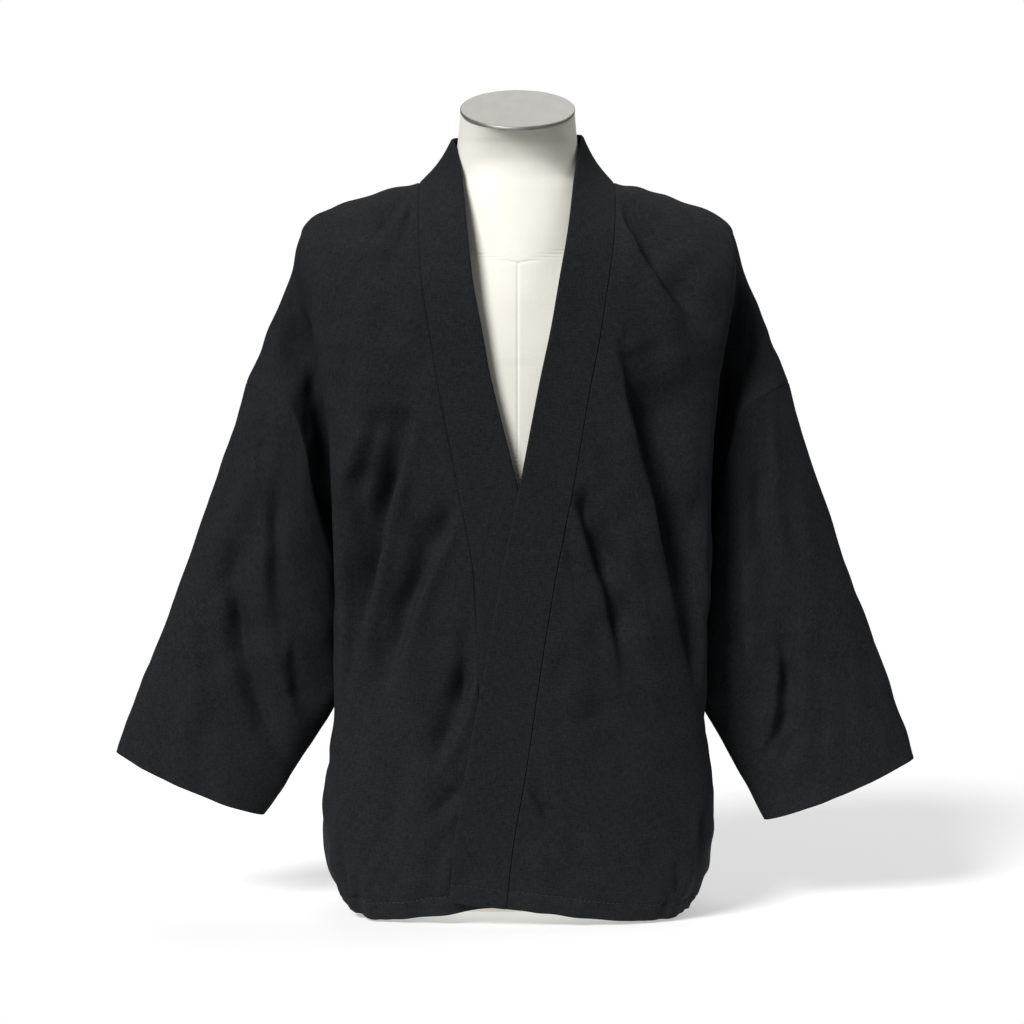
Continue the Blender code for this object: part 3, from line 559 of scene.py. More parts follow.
CREASES_RIGHT = [
    (-0.107, 0.750, -0.119, 0.719, -0.130, 0.672, 0.006, 0.005, 0.0042),
    (-0.114, 0.749, -0.130, 0.727, -0.147, 0.699, 0.008, 0.006, -0.0065),
    (-0.117, 0.718, -0.126, 0.689, -0.133, 0.655, 0.008, 0.007, -0.0060),
    (-0.156, 0.684, -0.163, 0.665, -0.168, 0.647, 0.007, 0.007, -0.0022),
    (-0.136, 0.536, -0.161, 0.450, -0.168, 0.350, 0.009, 0.009, -0.0060),
    (-0.150, 0.510, -0.176, 0.459, -0.185, 0.415, 0.008, 0.008, 0.0060),
    (-0.111, 0.530, -0.144, 0.402, -0.177, 0.242, 0.020, 0.0100, -0.0310),
    (-0.180, 0.262, -0.186, 0.190, -0.194, 0.110, 0.020, 0.0080, -0.0090),
    (-0.060, 0.436, -0.103, 0.350, -0.138, 0.240, 0.016, 0.009, -0.0150),
    (-0.030, 0.328, -0.056, 0.238, -0.090, 0.164, 0.015, 0.009, -0.0140),
    (-0.051, 0.158, -0.068, 0.134, -0.090, 0.114, 0.009, 0.009, -0.0060),
    (-0.181, 0.098, -0.179, 0.056, -0.176, 0.014, 0.009, 0.004, -0.0045),
    (-0.162, 0.058, -0.162, 0.032, -0.161, 0.006, 0.006, 0.004, -0.0035),
    (-0.133, 0.090, -0.144, 0.065, -0.157, 0.040, 0.005, 0.005, 0.0028),
    (-0.069, 0.095, -0.070, 0.068, -0.071, 0.040, 0.007, 0.009, 0.0020),
    (-0.100, 0.200, -0.120, 0.150, -0.132, 0.100, 0.018, 0.016, -0.0035),
]
print("creases in front:", len(CREASES_LEFT) + len(CREASES_RIGHT))

# %% [markdown]
# The photograph doesn't show the back. A back panel on a form hangs from the shoulder blades
# and blouses over the same gathered hem, so it gets the same family of folds, fewer and softer,
# and not mirrored from the front.

# %% Creases of the back
CREASES_BACK_LEFT = [
    (0.118, 0.640, 0.148, 0.500, 0.162, 0.340, 0.010, 0.020, -0.0110),
    (0.066, 0.600, 0.080, 0.440, 0.104, 0.270, 0.016, 0.012, -0.0080),
    (0.160, 0.600, 0.176, 0.480, 0.182, 0.330, 0.014, 0.012, 0.0050),
    (0.040, 0.330, 0.062, 0.210, 0.098, 0.120, 0.012, 0.010, -0.0090),
    (0.128, 0.300, 0.146, 0.200, 0.166, 0.110, 0.011, 0.013, -0.0070),
    (0.060, 0.700, 0.110, 0.680, 0.168, 0.640, 0.012, 0.012, -0.0045),
]
CREASES_BACK_RIGHT = [
    (-0.104, 0.650, -0.130, 0.500, -0.152, 0.330, 0.020, 0.010, -0.0100),
    (-0.050, 0.560, -0.066, 0.430, -0.070, 0.290, 0.012, 0.015, -0.0065),
    (-0.150, 0.560, -0.172, 0.440, -0.180, 0.300, 0.014, 0.014, 0.0050),
    (-0.030, 0.270, -0.050, 0.190, -0.094, 0.100, 0.010, 0.013, -0.0090),
    (-0.116, 0.340, -0.134, 0.230, -0.158, 0.140, 0.013, 0.011, -0.0070),
    (-0.070, 0.715, -0.118, 0.690, -0.172, 0.630, 0.012, 0.010, -0.0045),
]

# %% Small unevenness
RIPPLES = 16
PANEL_RIPPLE = 0.0017
SLEEVE_RIPPLE = 0.0015


def unevenness(across, down, seed, height):
    """Faint waves over the whole sheet, from a seeded set of slanted ripples."""
    chance = np.random.default_rng(seed)
    total = np.zeros(across.shape)
    bend = 0.012 * np.sin(down * 19 + seed) + 0.01 * np.sin(across * 27 + 2 * seed)
    for _ in range(RIPPLES):
        length = chance.uniform(0.022, 0.075)
        slant = chance.normal(0.25, 0.55)
        kx = np.cos(slant) / length
        kz = np.sin(slant) / length
        phase = chance.uniform(0, 2 * np.pi)
        swell = 0.5 + 0.5 * np.sin(down * chance.uniform(6, 16) + chance.uniform(0, 6))
        wave = np.sin(2 * np.pi * ((across + bend) * kx + down * kz) + phase)
        total += wave * swell * length / 0.05
    return total * height / 4.0


# %% [markdown]
# ## The gathered hem
# The hem is turned up into a casing about two centimetres deep, and elastic at each side
# draws it in. A gather is deepest at the stitch line and dies out upwards, some sooner than
# others. The casing itself is drawn tight, so its own pleats are small.

# %% The height of the gathers along the hem
GATHER_REACH = 0.085
GATHER_HEIGHT = 0.0036


def gathers(net, drops, seed):
    """Pleats of uneven pitch that run up from the hem at the sides."""
    chance = np.random.default_rng(seed)
    steps = np.linalg.norm(np.diff(net[-1], axis=0), axis=1)
    run = np.concatenate([[0.0], np.cumsum(steps)])[None, :]
    below = (JACKET_LENGTH - np.abs(drops))[:, None]
    beside = np.clip((np.abs(net[..., 0]) - 0.105) / 0.05, 0, 1)
    total = np.zeros(net.shape[:2])
    for pitch, reach, share in ((0.034, 1.0, 0.8), (0.021, 0.6, 0.6), (0.0125, 0.33, 0.42)):
        phase = chance.uniform(0, 2 * np.pi)
        drift = 0.35 * np.sin(run * 37 + phase)
        fade = np.clip(1 - below / (GATHER_REACH * reach), 0, 1) ** 0.9
        total += share * fade * np.cos(2 * np.pi * run / pitch + phase + drift)
    casing = 1 - 0.75 * np.clip((CASING_DEPTH - below) / 0.014, 0, 1)
    return GATHER_HEIGHT * total * beside * casing


def casing_line(drops):
    """The shallow ditch that the casing's stitches pull in, and the fuller cloth under it."""
    below = JACKET_LENGTH - np.abs(drops)
    ditch = -0.0007 * np.exp(-(((below - CASING_DEPTH) / 0.0016) ** 2))
    full = 0.0004 * np.clip((CASING_DEPTH - below) / 0.004, 0, 1)
    return (ditch + full)[:, None]


# %% The finished surface of a panel
HEM_ZONE = 0.03
HEM_ROWS = 21
MIDDLE_ROWS = 341


def panel_drops():
    """Rows of the panel, closer together at the two hems where the casing lies."""
    hem = np.linspace(JACKET_LENGTH - HEM_ZONE, JACKET_LENGTH, HEM_ROWS)
    middle = np.linspace(-(JACKET_LENGTH - HEM_ZONE), JACKET_LENGTH - HEM_ZONE, MIDDLE_ROWS)
    return np.concatenate([-hem[::-1], middle[1:-1], hem])


def body_surface(side):
    """The panel with its creases and gathers, its outward normals and its rows."""
    drops = panel_drops()
    net = join_side(body_net(side, drops), drops)
    up = normals(net) * side
    front = np.clip((drops[:, None] - 0.02) / 0.04, 0, 1) * np.clip(-up[..., 1] * 3, 0, 1)
    front *= np.clip((0.86 - np.abs(up[..., 0])) / 0.22, 0, 1)
    back = np.clip((-0.04 - drops[:, None]) / 0.06, 0, 1) * np.clip(up[..., 1] * 2.5, 0, 1)
    high = crease_heights(net, CREASES_LEFT if side > 0 else CREASES_RIGHT) * front
    high += crease_heights(net, CREASES_BACK_LEFT if side > 0 else CREASES_BACK_RIGHT) * back
    across = np.cumsum(np.linalg.norm(np.diff(net, axis=1, prepend=net[:, :1]), axis=2), axis=1)
    high += unevenness(across, drops[:, None] + 0 * across, 3 if side > 0 else 8, PANEL_RIPPLE)
    high += gathers(net, drops, 5 if side > 0 else 11)
    edge = np.linspace(0, 1, net.shape[1])[None, :]
    high = high * np.clip(edge / 0.06, 0, 1) * np.clip((1 - edge) / 0.08, 0, 1)
    high = high + casing_line(drops)
    net = net + up * high[..., None]
    up = normals(net) * side
    shared = up[:, -1] + up[::-1, -1]
    below = np.abs(drops) >= ARMHOLE_DROP - 0.0005
    up[below, -1] = (shared / np.linalg.norm(shared, axis=1, keepdims=True))[below]
    return net, up, drops, across


# %% [markdown]
# A seam pulls the cloth down into it, so the panel rolls over just before its two seams. Past
# the band's seam a narrow allowance runs on under the band, which is why no gap shows there.

# %% The turned-in edge of a panel
EDGE_STEPS = (0.0, 0.16, 0.34, 0.6, 1.0, 1.5)
EDGE_ROLL = 0.0007
ALLOWANCE = 0.0035
ALLOWANCE_SINK = 0.0024


def with_turned_edge(side, net, up, drops, across):
    """The panel rolled down at its two seams, with an allowance that goes under the band."""
    last = net.shape[1] - 1
    steps = np.array(EDGE_STEPS)
    at = np.concatenate([steps, np.arange(2, last - 1), last - steps[::-1]])
    low = np.minimum(at.astype(int), last - 1)
    part = (at - low)[None, :, None]
    finer = net[:, low] * (1 - part) + net[:, low + 1] * part
    lift = up[:, low] * (1 - part) + up[:, low + 1] * part
    flat = across[:, low] * (1 - part[..., 0]) + across[:, low + 1] * part[..., 0]
    gap = np.minimum(flat - flat[:, :1], flat[:, -1:] - flat)
    finer = finer - lift * (EDGE_ROLL * np.exp(-((gap / 0.0011) ** 2)))[..., None]
    on = finer[:, 0] - finer[:, 1]
    on /= np.linalg.norm(on, axis=1, keepdims=True)
    reach = np.clip((np.abs(drops - 0.005) - 0.03) / 0.02, 0, 1)[:, None]
    if side > 0:
        reach = reach * (drops > -BACK_NECK_DROP)[:, None]
    under = finer[:, 0] + (on * ALLOWANCE - lift[:, 0] * ALLOWANCE_SINK) * reach
    under = under - on * 0.0002 * (1 - reach)
    tuck = finer[:, 0] + on * 0.0001 - lift[:, 0] * 0.0008 * reach
    net = np.concatenate([under[:, None], tuck[:, None], finer[:, 1:]], axis=1)
    flat = np.concatenate([flat[:, :1] - ALLOWANCE, flat], axis=1)
    return net, flat


# %% [markdown]
# ## A sheet of cloth from a grid
# A woven sheet is a grid by nature, so each piece starts as a flat grid and is moved onto its
# surface. The map keeps each point's place on the flat cloth in metres, which the weave reads.
# Solidify then gives the real thickness, and the cut edges are marked sharp so they stay crisp.

# %% Grid to sheet
def grid_on(net, flat):
    """A grid moved onto a net, with its flat place in metres as its map."""
    rows, cols = net.shape[:2]
    work = bmesh.new()
    bmesh.ops.create_grid(work, x_segments=cols - 1, y_segments=rows - 1, size=1.0)
    cut = work.loops.layers.uv.new("cut")
    where = {}
    for vert in work.verts:
        c = round((vert.co.x + 1) / 2 * (cols - 1))
        r = round((vert.co.y + 1) / 2 * (rows - 1))
        where[vert] = (r, c)
    for face in work.faces:
        for loop in face.loops:
            loop[cut].uv = flat[where[loop.vert]]
    for vert, place in where.items():
        vert.co = net[place]
    return work


def finish_sheet(name, work, outward):
    """The grid as a sheet of cotton whose wall is centred on it."""
    bmesh.ops.recalc_face_normals(work, faces=work.faces)
    work.normal_update()
    total = sum(outward(face.calc_center_median()).dot(face.normal) for face in work.faces)
    if total < 0:
        bmesh.ops.reverse_faces(work, faces=work.faces)
    for face in work.faces:
        face.smooth = True
    for edge in work.edges:
        if edge.is_boundary:
            edge.smooth = False
    thing = object_from(name, work, COTTON)
    thick = thing.modifiers.new("wall", "SOLIDIFY")
    thick.thickness = CLOTH_WALL
    thick.offset = 0.0
    thick.use_even_offset = False
    return thing


def from_middle(point):
    """Outwards from the body's upright axis."""
    return Vector((point.x, point.y, 0.0))


# %% The two body panels
body_nets = {}
panels = []
for side, name in ((1.0, "panel_left"), (-1.0, "panel_right")):
    net, up, drops, across = body_surface(side)
    body_nets[side] = (net, up, drops)
    sewn, wide = with_turned_edge(side, net, up, drops, across)
    flat = np.stack([wide, np.repeat(drops[:, None], wide.shape[1], axis=1)], axis=2)
    work = grid_on(sewn, flat)
    panel = finish_sheet(name, work, from_middle)
    panels.append(panel)
    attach(panel, "root")
    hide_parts("body_left" if side > 0 else "body_right")
    print(name, len(panel.data.polygons), "faces")

# %% [markdown]
# ## The sleeves
# Each sleeve is one piece, folded at the top and sewn along its under edge, and a little
# narrower at the cuff. It hangs from the dropped armhole. The rings of the table are
# flattened ovals between an outer and an inner edge, as the photograph shows them, and the
# first ring is the armhole itself.

# %% Sections of the sleeves
SLEEVE_COLUMNS = "along out_x out_z in_x in_z depth mid_y".split()
SLEEVE_LEFT = [
    (0.1000, 0.2960, 0.5060, 0.1960, 0.3570, 0.0420, 0.0000),
    (0.3000, 0.3220, 0.4250, 0.1900, 0.2870, 0.0420, -0.0020),
    (0.5200, 0.3530, 0.3370, 0.1900, 0.2270, 0.0400, -0.0030),
    (0.7200, 0.3810, 0.2630, 0.2110, 0.1850, 0.0370, -0.0030),
    (0.8700, 0.4010, 0.2070, 0.2370, 0.1370, 0.0330, -0.0030),
    (1.0000, 0.4170, 0.1570, 0.2620, 0.0920, 0.0280, -0.0020),
]
SLEEVE_RIGHT = [
    (0.1000, 0.2960, 0.5060, 0.1875, 0.3570, 0.0420, 0.0000),
    (0.3000, 0.3240, 0.4250, 0.1855, 0.2870, 0.0420, -0.0020),
    (0.5200, 0.3560, 0.3370, 0.1860, 0.2310, 0.0400, -0.0030),
    (0.7200, 0.3830, 0.2630, 0.2080, 0.1890, 0.0370, -0.0030),
    (0.8700, 0.4055, 0.2090, 0.2380, 0.1390, 0.0330, -0.0030),
    (1.0000, 0.4220, 0.1630, 0.2670, 0.0960, 0.0280, -0.0020),
]

# %% Creases of the sleeves
CREASES_SLEEVE_LEFT = [
    (0.238, 0.420, 0.239, 0.324, 0.246, 0.230, 0.009, 0.013, 0.0055),
    (0.274, 0.292, 0.280, 0.225, 0.262, 0.160, 0.009, 0.016, -0.0110),
    (0.293, 0.324, 0.297, 0.260, 0.297, 0.180, 0.010, 0.012, 0.0050),
    (0.243, 0.655, 0.248, 0.600, 0.252, 0.560, 0.004, 0.006, 0.0034),
    (0.256, 0.605, 0.263, 0.510, 0.270, 0.395, 0.0045, 0.008, 0.0045),
    (0.246, 0.500, 0.250, 0.430, 0.262, 0.340, 0.010, 0.010, -0.0060),
    (0.298, 0.200, 0.287, 0.176, 0.274, 0.148, 0.008, 0.008, -0.0045),
]
CREASES_SLEEVE_RIGHT = [
    (-0.289, 0.388, -0.287, 0.290, -0.246, 0.152, 0.012, 0.010, -0.0125),
    (-0.262, 0.390, -0.259, 0.300, -0.228, 0.185, 0.010, 0.012, 0.0060),
    (-0.268, 0.524, -0.264, 0.495, -0.259, 0.455, 0.009, 0.009, -0.0060),
    (-0.243, 0.640, -0.244, 0.600, -0.246, 0.545, 0.005, 0.004, 0.0036),
    (-0.248, 0.558, -0.248, 0.534, -0.249, 0.500, 0.005, 0.004, 0.0032),
    (-0.246, 0.470, -0.250, 0.400, -0.248, 0.300, 0.008, 0.010, -0.0050),
    (-0.330, 0.310, -0.338, 0.250, -0.332, 0.185, 0.013, 0.013, 0.0035),
    (-0.240, 0.300, -0.241, 0.250, -0.232, 0.205, 0.006, 0.006, 0.0030),
]
CREASES_SLEEVE_BACK = [
    (0.262, 0.560, 0.272, 0.440, 0.290, 0.300, 0.012, 0.016, -0.0090),
    (0.232, 0.470, 0.236, 0.370, 0.262, 0.230, 0.012, 0.010, -0.0070),
    (0.310, 0.360, 0.318, 0.270, 0.322, 0.180, 0.013, 0.013, 0.0050),
]

# %% The edge where a sleeve or the band is sewn on
def pick(values, rows, share):
    """Values of a net between its rows, at one share of its width."""
    c = share * (values.shape[1] - 1)
    j = int(min(c, values.shape[1] - 2))
    line = values[:, j] * (1 - (c - j)) + values[:, j + 1] * (c - j)
    i = np.clip(rows.astype(int), 0, len(line) - 2)
    part = (rows - i)[:, None]
    return line[i] * (1 - part) + line[i + 1] * part


def edge_of(side, at, inner):
    """The panel's edge at some drops: its points, its normals and the way on past it."""
    net, up, drops = body_nets[side]
    rows = np.interp(at, drops, np.arange(len(drops)))
    edge = 0.0 if inner else 1.0
    points = pick(net, rows, edge)
    within = pick(net, rows, 0.02 if inner else 0.98)
    lift = pick(up, rows, edge)
    lift /= np.linalg.norm(lift, axis=1, keepdims=True)
    on = np.cross(np.gradient(points, axis=0), lift)
    on *= np.sign((on * (points - within)).sum(1, keepdims=True))
    return points, lift, on / np.linalg.norm(on, axis=1, keepdims=True)


# %% Rings of a sleeve
SLEEVE_ROWS = 150
SLEEVE_AROUND = 200


def sleeve_net(side):
    """The sleeve's rings from the armhole to the cuff, and their outward normals."""
    table = columns(SLEEVE_COLUMNS, SLEEVE_LEFT if side > 0 else SLEEVE_RIGHT)
    half = SLEEVE_AROUND // 2
    front = np.linspace(0.0, ARMHOLE_DROP, half + 1)
    back = -np.linspace(ARMHOLE_DROP, 0.0, half + 1)[1:-1]
    turn = np.concatenate([front, 2 * ARMHOLE_DROP + back]) / ARMHOLE_DROP * np.pi
    hole, lift, on = edge_of(side, np.concatenate([front, back]), False)
    near = np.clip(1 - np.abs(turn - np.pi) / UNDERARM_TURN, 0, 1)[:, None]
    aside = np.array([side * UNDERARM_ROOM, 0.0, 0.0])
    rings = [hole + on * SEAM_GAP * (1 - near) + aside * near]
    for k in range(len(table["along"])):
        outer = np.array([side * table["out_x"][k], 0.0, table["out_z"][k]])
        inner = np.array([side * table["in_x"][k], 0.0, table["in_z"][k]])
        bow = np.sign(np.sin(turn)) * np.abs(np.sin(turn)) ** 0.75
        ring = (outer + inner) / 2 + (outer - inner) / 2 * np.cos(turn)[:, None]
        ring[:, 1] = table["mid_y"][k] - table["depth"][k] * bow
        if k == len(table["along"]) - 1:
            ring[:, 2] -= 0.004 * np.sin(turn) ** 2
        rings.append(ring)
    keys = np.concatenate([[0.0], table["along"]])
    net = through(keys, np.array(rings), np.linspace(0, 1, SLEEVE_ROWS))
    up = normals(net, around=True)
    return net, up * np.sign(((net - net.mean(axis=1, keepdims=True)) * up).sum())


# %% The finished surface of a sleeve
def sleeve_surface(side):
    """A sleeve with its creases, and the flat place of each point."""
    net, up = sleeve_net(side)
    creases = CREASES_SLEEVE_LEFT if side > 0 else CREASES_SLEEVE_RIGHT
    high = crease_heights(net, creases) * np.clip(-up[..., 1] * 3, 0, 1)
    behind = [(side * a, b, side * c, d, side * e, f, l, r, h)
              for a, b, c, d, e, f, l, r, h in CREASES_SLEEVE_BACK]
    high += crease_heights(net, behind) * np.clip(up[..., 1] * 3, 0, 1)
    steps = np.linalg.norm(np.roll(net, -1, axis=1) - net, axis=2)
    across = np.cumsum(steps, axis=1) - steps[:, :1]
    down = np.linalg.norm(np.diff(net, axis=0, prepend=net[:1]), axis=2)
    down = np.cumsum(down.mean(axis=1))[:, None] + 0 * across
    high += unevenness(across, down, 21 if side > 0 else 34, SLEEVE_RIPPLE)
    fade = np.clip(np.linspace(0, 1, SLEEVE_ROWS) / 0.12, 0, 1)[:, None]
    net = net + up * (high * fade)[..., None]
    return net, across, down


# %% The two sleeves
def close_round(values):
    """The same rows with the first column again at the end."""
    return np.concatenate([values, values[:, :1]], axis=1)


for side, name in ((1.0, "sleeve_cloth_left"), (-1.0, "sleeve_cloth_right")):
    net, across, down = sleeve_surface(side)
    wide = across[:, -1] + np.linalg.norm(net[:, -1] - net[:, 0], axis=1)
    flat = np.stack([np.concatenate([across, wide[:, None]], axis=1), close_round(down)], axis=2)
    work = grid_on(close_round(net), flat)
    bmesh.ops.remove_doubles(work, verts=work.verts, dist=1e-7)

    def from_sleeve(point, net=net):
        """Outwards from the sleeve's middle line."""
        k = np.abs(net[:, :, 2].mean(axis=1) - point.z).argmin()
        return point - Vector(net[k].mean(axis=0))

    sleeve = finish_sheet(name, work, from_sleeve)
    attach(sleeve, "root")
    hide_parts("sleeve_left" if side > 0 else "sleeve_right")

# %% [markdown]
# ## The collar band
# The band is one long strip folded double, sewn to the fronts and round the neck. Its free
# edge is a fold, so it is round and soft, not cut. So the grid here goes round the strip's
# section: along the outer face, round the fold and back along the inner face.

# %% Where the band reaches
BAND_COLUMNS_OF = "drop across_x across_y across_z".split()
BAND_OVER = [
    (-0.055, 0.0000, -0.026, 0.060),
    (-0.035, -0.0150, -0.022, 0.055),
    (-0.018, -0.0270, -0.018, 0.050),
    (-0.008, -0.0298, -0.015, 0.046),
    (0.000, -0.0322, -0.013, 0.043),
    (0.020, -0.0390, -0.016, 0.031),
    (0.045, -0.0435, -0.016, 0.020),
    (0.090, -0.0460, -0.008, 0.013),
    (0.150, -0.0480, -0.007, 0.010),
    (0.250, -0.0500, -0.005, 0.009),
    (0.350, -0.0520, -0.004, 0.009),
    (0.450, -0.0530, -0.003, 0.009),
    (0.550, -0.0555, -0.003, 0.009),
    (0.650, -0.0590, -0.002, 0.009),
    (0.720, -0.0585, -0.001, 0.008),
    (0.790, -0.0575, 0.000, 0.007),
]
UNDER_BAND_WIDER = (1.05, 1.12)
BAND_HIGHER_OVER = 0.12
BAND_HIGHER_UNDER = 0.04
NECK_HOLLOW = 0.0035
BAND_ACROSS = 15

# %% The middle surface of the band
def band_net(side, drops, across):
    """The band of one side, from its seam to its free edge, and its normals."""
    seam, lift, on = edge_of(side, drops, True)
    table = columns(BAND_COLUMNS_OF, BAND_OVER)
    reach = np.stack([table[n] for n in BAND_COLUMNS_OF[1:]], axis=1)
    reach = through(table["drop"], reach, drops) * np.array([side, 1.0, 1.0])
    beside_neck = np.clip(1 - np.abs(drops + 0.005) / 0.045, 0, 1)
    reach[:, 2] *= 1 + beside_neck * (BAND_HIGHER_OVER if side > 0 else BAND_HIGHER_UNDER)
    if side < 0:
        reach[:, 0] *= np.interp(drops, (0.25, 0.36), UNDER_BAND_WIDER)
    start = seam + on * np.where(drops < 0.01, 2.5, 1.0)[:, None] * SEAM_GAP
    net = start[:, None] + reach[:, None] * across[None, :, None]
    stand = np.clip(1 - np.abs(drops - 0.005) / 0.05, 0, 1)[:, None, None]
    hollow = np.sin(np.pi * across)[None, :, None] * NECK_HOLLOW * stand
    out = normals(net)
    out *= np.sign((out[:, 0] * lift).sum(1))[:, None, None]
    net = net - out * hollow
    up = normals(net)
    up *= np.sign((up[:, 0] * lift).sum(1))[:, None, None]
    up[:, 0] = lift
    return net, up


# %% The whole band, up one front, round the neck and down the other
TURN_POINTS = 5
band_drops = panel_drops()
band_drops = band_drops[band_drops > -BACK_NECK_DROP][::-1]
band_drops = np.concatenate([band_drops, [-BACK_NECK_DROP]])
band_share = np.linspace(0, 1, BAND_ACROSS)
over, over_up = band_net(1.0, band_drops, band_share)
under, under_up = band_net(-1.0, band_drops, band_share)
band_middle = np.concatenate([over[:-1], (over[-1:] + under[-1:]) / 2, under[-2::-1]])
band_up = np.concatenate([over_up[:-1], over_up[-1:] + under_up[-1:], under_up[-2::-1]])
band_up /= np.linalg.norm(band_up, axis=2, keepdims=True)
band_on = np.gradient(band_middle, axis=1)
band_on /= np.linalg.norm(band_on, axis=2, keepdims=True)
radius = BAND_WALL / 2
ring = [band_middle[:, k] + band_up[:, k] * radius for k in range(BAND_ACROSS - 1)]
last = band_middle[:, -1] - band_on[:, -1] * radius
for angle in np.linspace(np.pi / 2, -np.pi / 2, TURN_POINTS):
    ring.append(last + (band_on[:, -1] * math.cos(angle) + band_up[:, -1] * math.sin(angle)) * radius)
ring += [band_middle[:, k] - band_up[:, k] * radius for k in range(BAND_ACROSS - 2, -1, -1)]
band_loop = np.stack(ring, axis=1)
steps = np.linalg.norm(np.diff(band_loop, axis=1, prepend=band_loop[:, :1]), axis=2)
band_across = np.cumsum(steps, axis=1)
band_long = np.linalg.norm(np.diff(band_middle.mean(axis=1), axis=0), axis=1)
band_run = np.concatenate([[0.0], np.cumsum(band_long)])
print("band", round(float(band_run[-1]), 3), "metres long,", round(float(band_across[0, -1] / 2), 4))

# %% Band object
BAND_SHARP = math.radians(50)

flat = np.stack([band_across, np.repeat(band_run[:, None], band_across.shape[1], axis=1)], axis=2)
work = grid_on(band_loop, flat)
side_edges = [edge for edge in work.edges if edge.is_boundary]
bmesh.ops.holes_fill(work, edges=side_edges, sides=0)
for face in list(work.faces):
    if len(face.verts) > 4:
        bmesh.ops.triangulate(work, faces=[face])
        break
bmesh.ops.recalc_face_normals(work, faces=work.faces)
for face in work.faces:
    face.smooth = True
for edge in work.edges:
    edge.smooth = edge.calc_face_angle(0.0) < BAND_SHARP
print("open edges of the band:", sum(edge.is_boundary for edge in work.edges))
band = object_from("band_cloth", work, COTTON)
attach(band, "root")
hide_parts("collar_band")

# %% [markdown]
# ## Stitches
# The casing of the hem is held by one row of straight stitches, in black thread on black
# cloth, so it shows mostly as a fine dotted line. Real stitches are all alike, so one small
# bead of thread is made again and again along a row of the cloth's grid, each one turned to
# the row and half sunk in the cloth.

# %% Rows of stitches
STITCH_PITCH = 0.0048
STITCH_LENGTH = 0.0033
STITCH_RADIUS = 0.00028


def stitch_row(work, points, ups, lift):
    """Beads of thread at an even pitch along a line that lies on the cloth."""
    steps = np.linalg.norm(np.diff(points, axis=0), axis=1)
    run = np.concatenate([[0.0], np.cumsum(steps)])
    count = int((run[-1] - 2 * STITCH_PITCH) / STITCH_PITCH)
    for at in np.linspace(STITCH_PITCH, run[-1] - STITCH_PITCH, max(count, 2)):
        place = Vector([np.interp(at, run, points[:, k]) for k in range(3)])
        later = Vector([np.interp(at + 0.002, run, points[:, k]) for k in range(3)])
        up = Vector([np.interp(at, run, ups[:, k]) for k in range(3)]).normalized()
        ahead = (later - place).normalized()
        aside = up.cross(ahead).normalized()
        turn = Matrix((ahead, aside, up)).transposed().to_4x4()
        size = Matrix.Diagonal((STITCH_LENGTH / 2, STITCH_RADIUS, STITCH_RADIUS, 1.0))
        bmesh.ops.create_uvsphere(work, u_segments=6, v_segments=4, radius=1.0,
                                  matrix=Matrix.Translation(place + up * lift) @ turn @ size)


def stitches(name, rows):
    """One object for all the stitches of a piece."""
    work = bmesh.new()
    for points, ups, lift in rows:
        stitch_row(work, points, ups, lift)
    for face in work.faces:
        face.smooth = True
    thing = object_from(name, work, THREAD)
    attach(thing, "root")
    print(name, len(thing.data.polygons), "faces")
    return thing


# %% Stitches of the casing, and of the foot of the band
for side, panel in ((1.0, panels[0]), (-1.0, panels[1])):
    net, up, drops = body_nets[side]
    rows = []
    for hem in (JACKET_LENGTH - CASING_DEPTH, CASING_DEPTH - JACKET_LENGTH):
        k = int(np.abs(drops - hem).argmin())
        rows.append((net[k, 2:-1], up[k, 2:-1], CLOTH_WALL / 2))
    thread = stitches("stitches_" + panel.name, rows)

k = int(np.abs(band_drops - (JACKET_LENGTH - CASING_DEPTH)).argmin())
thread = stitches("stitches_band", [(over[k, 1:-1], over_up[k, 1:-1], BAND_WALL / 2)])

# %% [markdown]
# ## The dress form
# The form is a torso built up in layers and covered with canvas panels, whose seams run down
# the middle of the front and round the base of the neck. It is turned here from the same rings
# as the solid, at a finer pitch, and the seams are pressed in as narrow grooves.

# %% Rings of the form
FORM_COLUMNS = "z half_x front_y back_y".split()
FORM = [
    (0.0000, 0.1240, -0.0440, 0.0980),
    (0.0020, 0.1290, -0.0500, 0.1030),
    (0.0090, 0.1400, -0.0740, 0.1070),
    (0.0180, 0.1480, -0.0900, 0.1080),
    (0.0360, 0.1550, -0.1050, 0.1090),
    (0.0950, 0.1600, -0.1120, 0.1100),
    (0.1950, 0.1540, -0.1080, 0.1020),
    (0.2950, 0.1500, -0.1060, 0.1000),
    (0.3950, 0.1560, -0.1100, 0.1040),
    (0.4950, 0.1680, -0.1140, 0.1100),
    (0.5750, 0.1820, -0.1120, 0.1120),
    (0.6350, 0.2000, -0.1010, 0.1060),
    (0.6700, 0.2125, -0.0880, 0.0940),
    (0.6880, 0.2190, -0.0740, 0.0800),
    (0.7000, 0.2212, -0.0600, 0.0660),
    (0.7085, 0.2195, -0.0500, 0.0560),
    (0.7178, 0.2108, -0.0415, 0.0500),
    (0.7283, 0.1912, -0.0350, 0.0460),
    (0.7378, 0.1652, -0.0288, 0.0430),
    (0.7455, 0.1392, -0.0245, 0.0410),
    (0.7515, 0.1120, -0.0240, 0.0420),
    (0.7565, 0.0890, -0.0350, 0.0440),
    (0.7680, 0.0735, -0.0500, 0.0450),
    (0.7830, 0.0655, -0.0590, 0.0450),
    (0.8050, 0.0618, -0.0680, 0.0440),
    (0.8330, 0.0590, -0.0790, 0.0470),
]
THROAT_COLUMNS = "z front_y half_x".split()
